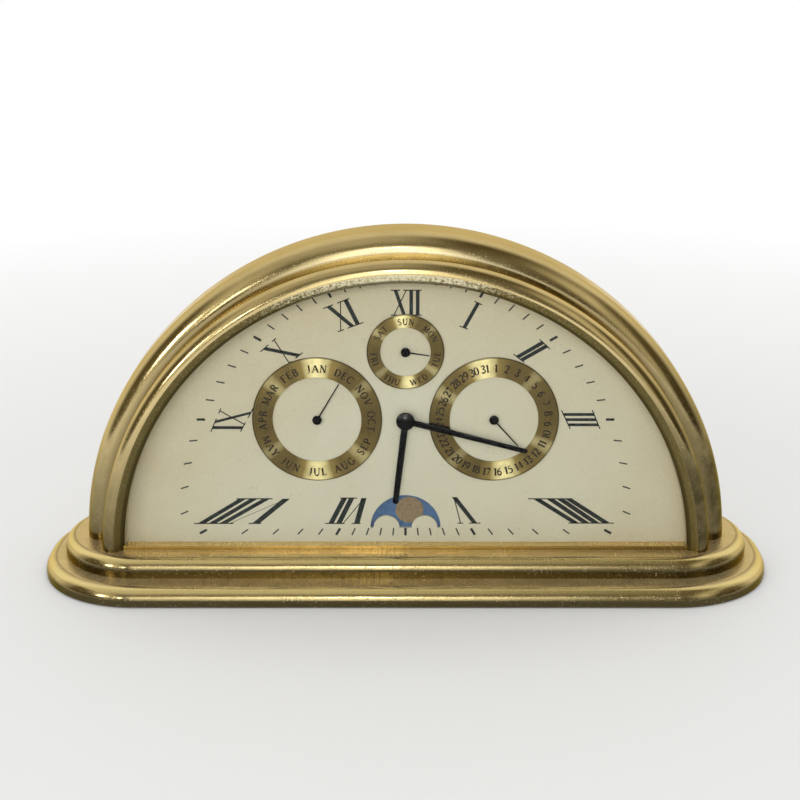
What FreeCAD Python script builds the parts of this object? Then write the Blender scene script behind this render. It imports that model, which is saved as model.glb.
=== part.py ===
import FreeCAD, Part
import Sketcher
import math
import os
import re

from FreeCAD import Placement, Rotation, Vector

# Demilune desk clock with month, date, day and moon displays.
# Millimetres. X to the right, Y to the back, Z up; the origin is the middle of the
# clock's footprint on the table, so the dial faces -Y.

doc = FreeCAD.newDocument("desk_clock")
sheet = doc.addObject("Spreadsheet::Sheet", "Dims")

driving = [
    # plinth: two stacked plates with rounded ends on a felt pad
    ("base_depth", 62.0),
    ("base_end_flat", 2.0),
    ("ledge_side", 5.4),
    ("ledge_front", 8.0),
    ("lower_height", 4.8),
    ("lower_edge_radius", 3.7),
    ("upper_end_flat", 0.2),
    ("upper_margin", 7.0),
    ("upper_height", 5.2),
    ("upper_edge_radius", 3.3),
    ("felt_thickness", 1.0),
    ("felt_recess", 0.7),
    ("felt_margin", 7.0),
    ("felt_gap", 0.2),
    ("well_clearance", 0.8),
    ("plate_clearance", 0.4),
    # arch and its two bezels, turned about one axis
    ("arch_centre_height", 8.0),
    ("arch_width", 18.0),
    ("arch_edge_radius", 5.6),
    ("flange_width", 5.0),
    ("flange_thickness", 3.0),
    ("bezel_depth", 8.3),
    ("bezel_edge_radius", 3.4),
    ("lip_radius", 78.1),
    ("lip_slope_width", 2.6),
    ("bezel_face_width", 3.6),
    ("arch_step", 5.8),
    ("seat_step", 1.4),
    ("seat_wall", 1.0),
    ("lip_setback", 1.8),
    ("lip_thickness", 0.4),
    ("sill_height", 0.5),
    ("seat_clearance", 0.1),
    # glass and dial
    ("glass_thickness", 1.2),
    ("dial_setback", 6.4),
    ("dial_thickness", 0.8),
    ("dial_rise", 39.0),
    ("day_dial_rise", 19.2),
    ("moon_rise", 4.3),
    ("ring_thickness", 0.3),
    ("large_ring_outer", 17.7),
    ("large_ring_inner", 12.1),
    ("day_ring_outer", 10.45),
    ("day_ring_inner", 6.8),
    ("aperture_radius", 9.8),
    ("horizon_radius", 3.6),
    ("horizon_spacing", 5.3),
    # hands
    ("hand_gap", 0.15),
    ("pointer_gap", 0.2),
    ("pointer_thickness", 0.15),
    ("pointer_width", 0.4),
    ("pointer_hub_radius", 1.3),
    ("hub_rise", 0.15),
    ("month_pointer_length", 12.0),
    ("date_pointer_length", 10.1),
    ("day_pointer_length", 6.5),
    ("month_angle", 30.6),
    ("date_angle", 138.3),
    ("day_angle", 98.7),
    ("hand_thickness", 0.2),
    ("hand_spacing", 0.25),
    ("hour_length", 24.2),
    ("hour_width", 2.0),
    ("minute_length", 34.6),
    ("minute_width", 1.8),
    ("hour_angle", 187.5),
    ("minute_angle", 104.8),
    ("hour_tip_width", 1.8),
    ("minute_tip_width", 1.5),
    ("pointer_tip_width", 0.2),
    ("hour_boss_radius", 2.2),
    ("minute_boss_radius", 1.9),
    ("cap_bore_depth", 0.5),
    ("cap_radius", 2.4),
    ("cap_height", 1.1),
    ("cap_edge_radius", 0.9),
    # works between the dial and the calendar plate
    ("works_space", 4.0),
    ("plate_thickness", 1.0),
    ("running_clearance", 0.05),
    ("arbor_radius", 0.95),
    ("hour_pipe_radius", 1.5),
    ("pointer_arbor_radius", 0.6),
    ("train_module", 0.25),
    ("cannon_teeth", 12),
    ("minute_wheel_teeth", 36),
    ("minute_pinion_teeth", 10),
    ("hour_wheel_teeth", 40),
    ("set_pinion_teeth", 12),
    ("train_angle", 45.0),
    ("cannon_tail", 4.0),
    ("wheel_thickness", 0.8),
    ("star_gap", 2.7),
    ("hour_wheel_gap", 2.8),
    ("minute_wheel_gap", 1.4),
    ("moon_gap", 0.2),
    ("tooth_addendum", 0.85),
    ("tooth_dedendum", 1.25),
    ("tooth_tip_share", 0.09),
    ("tooth_root_share", 0.27),
    ("star_tip_share", 0.06),
    ("star_root_share", 0.3),
    ("month_star_teeth", 12),
    ("date_star_teeth", 31),
    ("day_star_teeth", 7),
    ("moon_disc_teeth", 59),
    ("moon_tooth_depth", 0.4),
    ("month_star_radius", 8.0),
    ("date_star_radius", 8.0),
    ("day_star_radius", 5.5),
    ("star_tooth_depth", 1.1),
    ("moon_disc_radius", 10.3),
    ("moon_disc_thickness", 0.4),
    ("stud_radius", 1.0),
    ("wheel_stud_radius", 0.7),
    ("dial_foot_x", 44.0),
    ("dial_foot_drop", 14.0),
    ("dial_foot_margin", 6.1),
    ("plate_screw_low", 14.0),
    ("plate_screw_high", 56.0),
    # movement
    ("movement_half_width", 28.9),
    ("movement_bottom", 18.4),
    ("movement_pusher_gap", 0.5),
    ("movement_depth", 13.1),
    ("movement_wall", 1.3),
    ("bay_floor", 0.5),
    ("lid_thickness", 1.0),
    ("lug_length", 6.0),
    ("lug_thickness", 2.0),
    ("lug_height", 5.0),
    ("cell_radius", 7.25),
    ("cell_length", 49.5),
    ("cell_cap_radius", 2.7),
    ("cell_cap_length", 1.0),
    ("cell_clearance", 0.3),
    ("contact_gap", 0.05),
    ("contact_thickness", 0.4),
    ("contact_width", 8.0),
    ("board_thickness", 0.8),
    ("board_drop", 3.0),
    ("board_clearance", 0.3),
    ("coil_radius", 2.6),
    ("coil_length", 16.0),
    ("coil_offset", 3.0),
    # back of the clock
    ("cover_thickness", 1.0),
    ("knob_radius", 5.5),
    ("knob_height", 4.2),
    ("knob_gap", 0.4),
    ("knob_web", 1.0),
    ("knob_flutes", 18),
    ("knob_flute_radius", 0.7),
    ("pusher_radius", 1.2),
    ("pusher_rise", 2.4),
    ("pusher_travel", 1.8),
    ("pusher_collar_radius", 2.3),
    ("pusher_collar_length", 1.2),
    ("spring_wire_radius", 0.2),
    ("spring_turns", 5),
    ("pusher_tip_gap", 0.3),
    ("moon_pusher_drop", 2.0),
    ("star_reach", 0.4),
    ("spring_clearance", 0.35),
    ("door_width", 58.0),
    ("door_height", 19.0),
    ("door_thickness", 1.0),
    ("door_overlap", 1.6),
    ("door_gap", 0.1),
    ("hinge_radius", 1.1),
    ("hinge_pin_radius", 0.5),
    ("hinge_ear_length", 5.0),
    ("hinge_end_gap", 0.3),
    ("pull_width", 12.0),
    ("pull_rise", 1.2),
    ("pull_thickness", 1.2),
    ("pillar_radius", 2.2),
    ("pillar_margin", 6.7),
    ("pillar_low", 18.0),
    ("pillar_high", 48.0),
    # fasteners
    ("case_screw_radius", 2.0),
    ("case_screw_head_radius", 3.6),
    ("case_screw_head_height", 2.2),
    ("case_socket_radius", 1.7),
    ("case_socket_depth", 1.3),
    ("case_screw_depth", 7.0),
    ("case_screw_spacing", 9.0),
    ("small_screw_radius", 1.0),
    ("small_head_radius", 1.9),
    ("small_head_height", 1.0),
    ("slot_width", 0.5),
    ("cover_screw_depth", 5.0),
    ("screw_play", 0.2),
    ("thread_runout", 0.5),
    ("thread_clearance", 0.05),
    ("press_clearance", 0.02),
]

derived = [
    ("bezel_face_radius", "=lip_radius + lip_slope_width"),
    ("bezel_radius", "=bezel_face_radius + bezel_face_width"),
    ("arch_radius", "=bezel_radius + arch_step"),
    ("seat_radius", "=lip_radius + seat_step"),
    ("arch_bore", "=seat_radius + seat_wall"),
    ("flange_bore", "=arch_bore - flange_width"),
    ("upper_length", "=2 * (arch_radius + upper_margin)"),
    ("base_length", "=upper_length + 2 * ledge_side"),
    ("base_end_radius", "=base_depth / 2 - base_end_flat"),
    ("upper_depth", "=base_depth - 2 * ledge_front"),
    ("upper_end_radius", "=upper_depth / 2 - upper_end_flat"),
    ("base_bottom", "=felt_thickness - felt_recess"),
    ("felt_bottom", "=0"),
    ("felt_length", "=base_length - 2 * felt_margin"),
    ("felt_depth", "=base_depth - 2 * felt_margin"),
    ("felt_end_radius", "=base_end_radius - felt_margin"),
    ("recess_length", "=felt_length + 2 * felt_gap"),
    ("recess_depth", "=felt_depth + 2 * felt_gap"),
    ("recess_end_radius", "=felt_end_radius + felt_gap"),
    ("lower_top", "=base_bottom + lower_height"),
    ("base_top", "=lower_top + upper_height"),
    ("sill_top", "=base_top + sill_height"),
    ("dial_centre_height", "=arch_centre_height + dial_rise"),
    ("arch_half", "=arch_width / 2"),
    ("case_front", "=-(arch_half + bezel_depth)"),
    ("lip_front", "=case_front + lip_setback"),
    ("glass_front", "=lip_front + lip_thickness"),
    ("glass_back", "=glass_front + glass_thickness"),
    ("glass_radius", "=seat_radius - seat_clearance"),
    ("dial_front", "=case_front + dial_setback"),
    ("dial_back", "=dial_front + dial_thickness"),
    ("ring_front", "=dial_front - ring_thickness"),
    ("pointer_back", "=ring_front - pointer_gap"),
    ("pointer_front", "=pointer_back - pointer_thickness"),
    ("hub_front", "=pointer_front - hub_rise"),
    ("hour_back", "=hub_front - hand_gap"),
    ("hour_front", "=hour_back - hand_thickness"),
    ("minute_back", "=hour_front - hand_spacing"),
    ("minute_front", "=minute_back - hand_thickness"),
    ("cap_front", "=minute_front - cap_height"),
    ("plate_front", "=dial_back + works_space"),
    ("plate_back", "=plate_front + plate_thickness"),
    ("flange_back", "=plate_back + flange_thickness"),
    ("movement_back", "=plate_back + movement_depth"),
    ("lid_back", "=movement_back + lid_thickness"),
    ("cover_front", "=-dial_back"),
    ("cover_back", "=cover_front + cover_thickness"),
    ("star_back", "=plate_front - star_gap"),
    ("star_front", "=star_back - wheel_thickness"),
    ("hour_wheel_back", "=plate_front - hour_wheel_gap"),
    ("hour_wheel_front", "=hour_wheel_back - wheel_thickness"),
    ("minute_wheel_back", "=plate_front - minute_wheel_gap"),
    ("minute_wheel_front", "=minute_wheel_back - wheel_thickness"),
    ("moon_disc_front", "=dial_back + moon_gap"),
    ("moon_disc_back", "=moon_disc_front + moon_disc_thickness"),
    ("hour_module", "=train_module * (cannon_teeth + minute_wheel_teeth)"
                    " / (minute_pinion_teeth + hour_wheel_teeth)"),
    ("train_spacing", "=train_module * (cannon_teeth + minute_wheel_teeth) / 2"),
    ("set_spacing", "=train_module * (set_pinion_teeth + minute_wheel_teeth) / 2"),
    ("wheel_x", "=train_spacing * sin(train_angle * 1deg)"),
    ("wheel_z", "=dial_centre_height + train_spacing * cos(train_angle * 1deg)"),
    ("setter_x", "=wheel_x + set_spacing * sin(train_angle * 1deg)"),
    ("setter_z", "=wheel_z + set_spacing * cos(train_angle * 1deg)"),
    ("day_z", "=dial_centre_height + day_dial_rise"),
    ("moon_z", "=sill_top + moon_rise"),
    ("day_pusher_z", "=day_z + day_star_radius - star_reach"),
    ("movement_top", "=day_pusher_z - pusher_collar_radius - movement_pusher_gap"),
    ("cell_y", "=plate_back + bay_floor + cell_clearance + cell_radius"),
    ("cell_z", "=movement_bottom + movement_wall + cell_clearance + cell_radius"),
    ("cell_half", "=(cell_length + cell_cap_length) / 2"),
    ("bay_half_width", "=cell_half + contact_thickness + 2 * contact_gap"),
    ("bay_bottom", "=cell_z - cell_radius - cell_clearance"),
    ("bay_top", "=cell_z + cell_radius + cell_clearance"),
    ("pusher_end", "=cover_back + pusher_rise"),
    ("pusher_tip", "=star_back + pusher_tip_gap + pusher_travel"),
    ("collar_front", "=cover_front - pusher_collar_length"),
    ("date_pusher_x", "=movement_half_width + movement_pusher_gap + pusher_collar_radius"),
    ("subdial_spacing", "=date_pusher_x + star_reach - date_star_radius"),
    ("month_pusher_x", "=-(subdial_spacing + month_star_radius - star_reach)"),
    ("moon_pusher_x", "=sqrt((moon_disc_radius - star_reach) ^ 2 - moon_pusher_drop ^ 2)"),
    ("moon_pusher_z", "=moon_z - moon_pusher_drop"),
    ("door_bottom", "=cell_z - door_height / 2"),
    ("door_front", "=cover_back + door_gap"),
    ("door_back", "=door_front + door_thickness"),
    ("hinge_z", "=door_bottom - hinge_radius - door_gap"),
    ("hinge_y", "=cover_back + hinge_radius + door_gap"),
    ("door_half", "=door_width / 2"),
    ("knob_front", "=cover_back + knob_gap"),
    ("knob_back", "=knob_front + knob_height"),
    ("flute_circle", "=knob_radius + knob_flute_radius * 0.4"),
    ("foot_x", "=sqrt((arch_bore / 2 + arch_radius / 2) ^ 2 - (base_top - arch_centre_height) ^ 2)"),
    ("screw_seat", "=felt_thickness + case_screw_head_height"),
]

row = 1
for alias, value in driving:
    sheet.set("A%d" % row, alias)
    sheet.set("B%d" % row, str(value))
    sheet.setAlias("B%d" % row, alias)
    row += 1
for alias, formula in derived:
    sheet.set("A%d" % row, alias)
    sheet.set("B%d" % row, formula)
    sheet.setAlias("B%d" % row, alias)
    row += 1
doc.recompute()

names = {alias for alias, text in driving + derived}
word = re.compile(r"[a-z][a-z_]*[a-z]")
subparts = []


def size(alias):
    return float(sheet.get(alias))


def bound(text):
    """Put the sheet's name before each alias in an expression."""
    return word.sub(lambda w: "Dims." + w.group() if w.group() in names else w.group(), text)


def link(obj, prop, text):
    obj.setExpression(prop, bound(text))


def part(obj, label):
    obj.Label = label
    subparts.append(obj)
    return obj


# ---- Part primitives and booleans ----

def block(x, y, z):
    """Box from three pairs of expressions, low and high."""
    box = doc.addObject("Part::Box", "Block")
    for prop, axis, span in (("Length", "x", x), ("Width", "y", y), ("Height", "z", z)):
        link(box, prop, "(%s) - (%s)" % (span[1], span[0]))
        link(box, "Placement.Base." + axis, span[0])
    return box


def rod(radius, start, end, x="0", z="0"):
    """Cylinder along Y between two depths."""
    cylinder = doc.addObject("Part::Cylinder", "Rod")
    cylinder.Placement = Placement(Vector(), Rotation(Vector(1, 0, 0), -90))
    link(cylinder, "Radius", radius)
    link(cylinder, "Height", "(%s) - (%s)" % (end, start))
    link(cylinder, "Placement.Base.x", x)
    link(cylinder, "Placement.Base.y", start)
    link(cylinder, "Placement.Base.z", z)
    return cylinder


def post(radius, bottom, top, x="0", y="0"):
    """Cylinder along Z between two heights."""
    cylinder = doc.addObject("Part::Cylinder", "Post")
    link(cylinder, "Radius", radius)
    link(cylinder, "Height", "(%s) - (%s)" % (top, bottom))
    link(cylinder, "Placement.Base.x", x)
    link(cylinder, "Placement.Base.y", y)
    link(cylinder, "Placement.Base.z", bottom)
    return cylinder


def bar(radius, left, right, y, z):
    """Cylinder along X between two stations."""
    cylinder = doc.addObject("Part::Cylinder", "Bar")
    cylinder.Placement = Placement(Vector(), Rotation(Vector(0, 1, 0), 90))
    link(cylinder, "Radius", radius)
    link(cylinder, "Height", "(%s) - (%s)" % (right, left))
    link(cylinder, "Placement.Base.x", left)
    link(cylinder, "Placement.Base.y", y)
    link(cylinder, "Placement.Base.z", z)
    return cylinder


def fuse(*pieces):
    joined = doc.addObject("Part::MultiFuse", "Fuse")
    joined.Shapes = list(pieces)
    joined.Refine = True
    return joined


def cut(base, *tools):
    result = doc.addObject("Part::Cut", "Cut")
    result.Base = base
    result.Tool = tools[0] if len(tools) == 1 else fuse(*tools)
    result.Refine = True
    return result


def common(first, second):
    result = doc.addObject("Part::Common", "Common")
    result.Base = first
    result.Tool = second
    return result


def group(*pieces):
    """Separate identical solids kept in one sub-part."""
    compound = doc.addObject("Part::Compound", "Group")
    compound.Links = list(pieces)
    return compound


def half_disc(radius, chord, start, end):
    """Disc about the arch's axis, cut off flat below the chord's height."""
    disc = rod(radius, start, end, "0", "arch_centre_height")
    above = block(("-(%s) - 1" % radius, radius + " + 1"), (start + " - 1", end + " + 1"),
                  (chord, "arch_centre_height + %s + 1" % radius))
    return common(disc, above)


# ---- sketches and bodies ----

def new_body(label):
    body = doc.addObject("PartDesign::Body", "Body")
    body.Label = label
    return body


def sketch_on(body, role, offset=None):
    plane = [f for f in body.Origin.OriginFeatures if f.Role == role][0]
    sketch = body.newObject("Sketcher::SketchObject", "Sketch")
    sketch.AttachmentSupport = [(plane, "")]
    sketch.MapMode = "FlatFace"
    if offset:
        link(sketch, "AttachmentOffset.Base.z", offset)
    return sketch


def polygon(sketch, corners):
    """Closed outline; each corner is a pair of sheet aliases, with a sign in front if needed."""
    points = [Vector(signed(x), signed(y), 0) for x, y in corners]
    first = sketch.GeometryCount
    count = len(points)
    for i in range(count):
        sketch.addGeometry(Part.LineSegment(points[i], points[(i + 1) % count]), False)
    for i in range(count):
        after = first + (i + 1) % count
        sketch.addConstraint(Sketcher.Constraint("Coincident", first + i, 2, after, 1))
    for i, (x, y) in enumerate(corners):
        for kind, text in (("DistanceX", x), ("DistanceY", y)):
            index = sketch.addConstraint(
                Sketcher.Constraint(kind, -1, 1, first + i, 1, signed(text)))
            link(sketch, "Constraints[%d]" % index, text)


def signed(text):
    """Value of an alias, of its negative, or of half of it."""
    value = -1.0 if text.startswith("-") else 1.0
    bare = text.lstrip("-")
    if bare.endswith(" / 2"):
        value = value / 2
        bare = bare[:-4]
    return value * (size(bare) if bare in names else float(bare))


def rectangle(sketch, x, y):
    polygon(sketch, [(x[0], y[0]), (x[1], y[0]), (x[1], y[1]), (x[0], y[1])])


def pad(body, sketch, length):
    feature = body.newObject("PartDesign::Pad", "Pad")
    feature.Profile = sketch
    link(feature, "Length", length)
    sketch.Visibility = False
    doc.recompute()
    return feature


def turned(body, sketch):
    """Full turn about the body's own Y axis."""
    axis = [f for f in body.Origin.OriginFeatures if f.Role == "Y_Axis"][0]
    feature = body.newObject("PartDesign::Revolution", "Revolution")
    feature.Profile = sketch
    feature.ReferenceAxis = (axis, [""])
    feature.Angle = 360
    doc.recompute()
    return feature


def rounded(body, feature, radius, chosen):
    """Fillet the edges of a feature that the test picks."""
    edges = ["Edge%d" % (i + 1) for i, e in enumerate(feature.Shape.Edges) if chosen(e)]
    if not edges:
        raise ValueError("%s: no edge to round" % body.Label)
    fillet = body.newObject("PartDesign::Fillet", "Fillet")
    fillet.Base = (feature, edges)
    link(fillet, "Radius", radius)
    doc.recompute()
    return fillet


def near(a, b):
    return abs(a - b) < 1e-4


# ---- plinth ----

def slab(label, length, depth, end_radius, bottom, height):
    """Plate with rounded ends, centred on the origin."""
    body = new_body(label)
    outline = sketch_on(body, "XY_Plane", bottom)
    rectangle(outline, ("-%s / 2" % length, "%s / 2" % length),
              ("-%s / 2" % depth, "%s / 2" % depth))
    plate = pad(body, outline, height)
    feature = rounded(body, plate, end_radius,
                      lambda e: near(e.BoundBox.ZLength, size(height)))
    return body, feature


def plinth_plate(label, length, depth, end_radius, edge_radius, bottom, height):
    body, upright = slab(label, length, depth, end_radius, bottom, height)
    top = size(bottom) + size(height)
    rounded(body, upright, edge_radius,
            lambda e: near(e.BoundBox.ZMin, top) and near(e.BoundBox.ZMax, top))
    return body


lower_body = plinth_plate("lower_slab", "base_length", "base_depth", "base_end_radius",
                          "lower_edge_radius", "base_bottom", "lower_height")
upper_body = plinth_plate("upper_slab", "upper_length", "upper_depth", "upper_end_radius",
                          "upper_edge_radius", "lower_top", "upper_height")
recess_body = slab("pad_recess", "recess_length", "recess_depth", "recess_end_radius",
                   "felt_bottom", "felt_thickness")[0]
felt_body = slab("felt_slab", "felt_length", "felt_depth", "felt_end_radius",
                 "felt_bottom", "felt_thickness")[0]

half_screw = "case_screw_spacing / 2"
case_screw_places = [(x, y) for x in ("foot_x", "-foot_x") for y in (half_screw, "-" + half_screw)]


def screw_holes(radius, bottom, top):
    return [post(radius, bottom, top, x, y) for x, y in case_screw_places]


well_x = ("-(moon_disc_radius + well_clearance)", "moon_disc_radius + well_clearance")
well_y = ("dial_back", "plate_back + plate_clearance")
disc_well = block(well_x, well_y, ("moon_z - moon_disc_radius - well_clearance", "lower_top + 1"))
disc_slot = block(well_x, well_y, ("lower_top - 1", "base_top + 1"))
lower_shanks = screw_holes("case_screw_radius + screw_play", "base_bottom - 1", "base_top + 1")
lower_heads = screw_holes("case_screw_head_radius + screw_play", "base_bottom - 1", "screw_seat")
part(cut(lower_body, recess_body, disc_well, *(lower_shanks + lower_heads)), "plinth_lower")
upper_shanks = screw_holes("case_screw_radius + screw_play", "lower_top - 1", "base_top + 1")
part(cut(upper_body, disc_slot, *upper_shanks), "plinth_upper")
part(cut(felt_body, *screw_holes("case_screw_head_radius + screw_play", "felt_bottom - 1",
                                 "felt_thickness + 1")), "felt_pad")


def case_screw(x, y):
    head = post("case_screw_head_radius", "screw_seat - case_screw_head_height", "screw_seat", x, y)
    shank = post("case_screw_radius", "screw_seat", "base_top + case_screw_depth", x, y)
    socket = doc.addObject("Part::Prism", "Socket")
    socket.Polygon = 6
    link(socket, "Circumradius", "case_socket_radius")
    link(socket, "Height", "case_socket_depth")
    link(socket, "Placement.Base.x", x)
    link(socket, "Placement.Base.y", y)
    link(socket, "Placement.Base.z", "screw_seat - case_screw_head_height")
    return cut(fuse(head, shank), socket)


part(group(*[case_screw(x, y) for x, y in case_screw_places]), "case_screws")


# ---- arch and bezels, each turned about the arch's axis and cut off at the plinth ----

def cut_at_plinth(body, reach, level="base_top"):
    """Take away everything of a turned ring below the plinth's top."""
    below = block(("-(%s + 5)" % reach, reach + " + 5"), ("case_front - 5", "-case_front + 5"),
                  ("-(%s)" % reach, level))
    return cut(body, below)


def turned_ring(label, profile, rounds):
    body = new_body(label)
    link(body, "Placement.Base.z", "arch_centre_height")
    section = sketch_on(body, "YZ_Plane")
    polygon(section, profile)
    feature = turned(body, section)
    for radius, chosen in rounds:
        feature = rounded(body, feature, radius, chosen)
    return body


def circle_at(radius, depth):
    """Edge test: a whole circle of this radius at this depth."""
    return lambda e: (near(e.BoundBox.XMax, size(radius)) and near(e.BoundBox.YMax, depth)
                      and near(e.BoundBox.YMin, depth))


half = size("arch_half")
arch_profile = [("-arch_half", "arch_radius"), ("arch_half", "arch_radius"),
                ("arch_half", "arch_bore"), ("flange_back", "arch_bore"),
                ("flange_back", "flange_bore"), ("plate_back", "flange_bore"),
                ("plate_back", "arch_bore"), ("-arch_half", "arch_bore")]
arch_ring = turned_ring("arch_ring", arch_profile,
                        [("arch_edge_radius",
                          lambda e: circle_at("arch_radius", half)(e)
                          or circle_at("arch_radius", -half)(e))])
foot_holes = screw_holes("case_screw_radius + thread_clearance", "base_top - 1",
                         "base_top + case_screw_depth + thread_runout")
plate_angles = ("plate_screw_low * 1deg", "plate_screw_high * 1deg",
                "180deg - plate_screw_high * 1deg", "180deg - plate_screw_low * 1deg")


def on_circle(radius, angle):
    """X and Z expressions of a point about the arch's axis."""
    x = "%s * cos(%s)" % (radius, angle)
    z = "arch_centre_height + %s * sin(%s)" % (radius, angle)
    return x, z


plate_screw_circle = "(flange_bore / 2 + arch_bore / 2)"
flange_holes = [rod("small_screw_radius + thread_clearance", "plate_back - 1", "flange_back + 1",
                    *on_circle(plate_screw_circle, a)) for a in plate_angles]
part(cut(cut_at_plinth(arch_ring, "arch_radius"), *(foot_holes + flange_holes)), "case_arch")

bezel_section = [("-arch_half", "bezel_radius"), ("case_front", "bezel_radius"),
                 ("case_front", "bezel_face_radius"), ("lip_front", "lip_radius"),
                 ("glass_front", "lip_radius"), ("glass_front", "seat_radius"),
                 ("-arch_half", "seat_radius")]
front_ring = turned_ring("front_ring", bezel_section,
                         [("bezel_edge_radius", circle_at("bezel_radius", size("case_front")))])


def sill(front, back):
    """Thin bar that closes the opening at the plinth."""
    return block(("-(seat_radius + 1)", "seat_radius + 1"), (front, back),
                 ("base_top", "sill_top"))


part(fuse(cut_at_plinth(front_ring, "arch_radius"), sill("lip_front", "dial_back")),
     "front_bezel")

mirrored = doc.addObject("Part::Mirroring", "RearRing")
mirrored.Source = front_ring
mirrored.Base = Vector(0, 0, 0)
mirrored.Normal = Vector(0, 1, 0)
part(fuse(cut_at_plinth(mirrored, "arch_radius"), sill("-dial_back", "-lip_front")), "rear_bezel")

# ---- glass, reveal and dial ----

seat_chord = "sill_top + thread_clearance"
part(half_disc("glass_radius", seat_chord, "glass_front", "glass_back"), "front_glass")
reveal = half_disc("glass_radius", seat_chord, "glass_back", "dial_front")
part(cut(reveal, rod("lip_radius", "glass_back - 1", "dial_front + 1", "0",
                     "arch_centre_height")), "reveal_ring")

moon_window = common(rod("aperture_radius", "dial_front - 1", "dial_back + 1", "0", "moon_z"),
                     block(("-aperture_radius - 1", "aperture_radius + 1"),
                           ("dial_front - 1", "dial_back + 1"),
                           ("moon_z", "moon_z + aperture_radius + 1")))
horizons = [rod("horizon_radius", "dial_front - 2", "dial_back + 2", x, "moon_z")
            for x in ("horizon_spacing", "-horizon_spacing")]
aperture = cut(moon_window, *horizons)

pointer_places = {
    "month": ("-subdial_spacing", "dial_centre_height"),
    "date": ("subdial_spacing", "dial_centre_height"),
    "day": ("0", "day_z"),
}
dial_holes = [rod("pointer_arbor_radius + running_clearance", "dial_front - 1", "dial_back + 1",
                  x, z) for x, z in pointer_places.values()]
centre_hole = rod("hour_pipe_radius + running_clearance", "dial_front - 1", "dial_back + 1", "0",
                  "dial_centre_height")
part(cut(half_disc("glass_radius", seat_chord, "dial_front", "dial_back"), aperture, centre_hole,
         *dial_holes), "dial_plate")


def chapter_ring(label, place, outer, inner):
    x, z = pointer_places[place]
    part(cut(rod(outer, "ring_front", "dial_front", x, z),
             rod(inner, "ring_front - 1", "dial_front + 1", x, z)), label)


chapter_ring("month_ring", "month", "large_ring_outer", "large_ring_inner")
chapter_ring("date_ring", "date", "large_ring_outer", "large_ring_inner")
chapter_ring("day_ring", "day", "day_ring_outer", "day_ring_inner")

foot_places = [("-dial_foot_x", "dial_centre_height - dial_foot_drop"),
               ("dial_foot_x", "dial_centre_height - dial_foot_drop"),
               ("0", "arch_centre_height + lip_radius - dial_foot_margin")]
part(group(*[rod("stud_radius", "dial_back", "plate_back", x, z) for x, z in foot_places]),
     "dial_feet")


# ---- toothed wheels ----

def toothed(teeth, tip, root, tip_share, root_share, phase):
    """Face in the XZ plane: teeth with straight flanks, one of them at the phase angle."""
    pitch = 2 * math.pi / teeth
    corners_list = []
    for i in range(teeth):
        middle = phase + i * pitch
        for offset, radius in ((-root_share, root), (-tip_share, tip), (tip_share, tip),
                               (root_share, root)):
            angle = middle + offset * pitch
            corners_list.append(Vector(radius * math.sin(angle), 0, radius * math.cos(angle)))
    corners_list.append(corners_list[0])
    return Part.Face(Part.makePolygon(corners_list))


def wheel_shape(face, front, back, x, z):
    solid = face.extrude(Vector(0, size(back) - size(front), 0))
    solid.translate(Vector(x, size(front), z))
    return solid


def gear_face(teeth, module, phase):
    """Clock-train wheel: short teeth with room at the flanks."""
    radius = module * teeth / 2
    return toothed(teeth, radius + size("tooth_addendum") * module,
                   radius - size("tooth_dedendum") * module, size("tooth_tip_share"),
                   size("tooth_root_share"), phase)


def tube(radius, bore, start, end, x, z):
    solid = Part.makeCylinder(radius, end - start, Vector(x, start, z), Vector(0, 1, 0))
    if bore:
        solid = solid.cut(Part.makeCylinder(bore, end - start + 2, Vector(x, start - 1, z),
                                            Vector(0, 1, 0)))
    return solid


def shape_part(label, solid):
    feature = doc.addObject("Part::Feature", "Turned")
    feature.Shape = solid.removeSplitter()
    return part(feature, label)


module = size("train_module")
hour_module = size("hour_module")
centre_z = size("dial_centre_height")
arbor = size("arbor_radius")
clearance = size("running_clearance")
train_direction = math.radians(size("train_angle"))
wheel_x = size("wheel_x")
wheel_z = size("wheel_z")
setter_x = size("setter_x")
setter_z = size("setter_z")

# cannon pinion: its arbor runs from the movement to the minute hand
cannon = wheel_shape(gear_face(int(size("cannon_teeth")), module, train_direction),
                     "minute_wheel_front", "minute_wheel_back", 0, centre_z)
cannon = cannon.fuse(tube(arbor, 0, size("minute_front") - size("cap_bore_depth"),
                          size("plate_back") + size("cannon_tail"), 0, centre_z))
shape_part("cannon_pinion", cannon)

# hour wheel: pipe over the arbor, out through the dial
pipe = size("hour_pipe_radius")
hour_teeth = int(size("hour_wheel_teeth"))
hour_solid = wheel_shape(gear_face(hour_teeth, hour_module, train_direction),
                         "hour_wheel_front", "hour_wheel_back", 0, centre_z)
hour_solid = hour_solid.fuse(tube(pipe, 0, size("hour_front"), size("hour_wheel_back"), 0, centre_z))
hour_solid = hour_solid.cut(tube(arbor + clearance, 0, size("hour_front") - 1,
                                 size("hour_wheel_back") + 1, 0, centre_z))
shape_part("hour_wheel", hour_solid)

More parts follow.
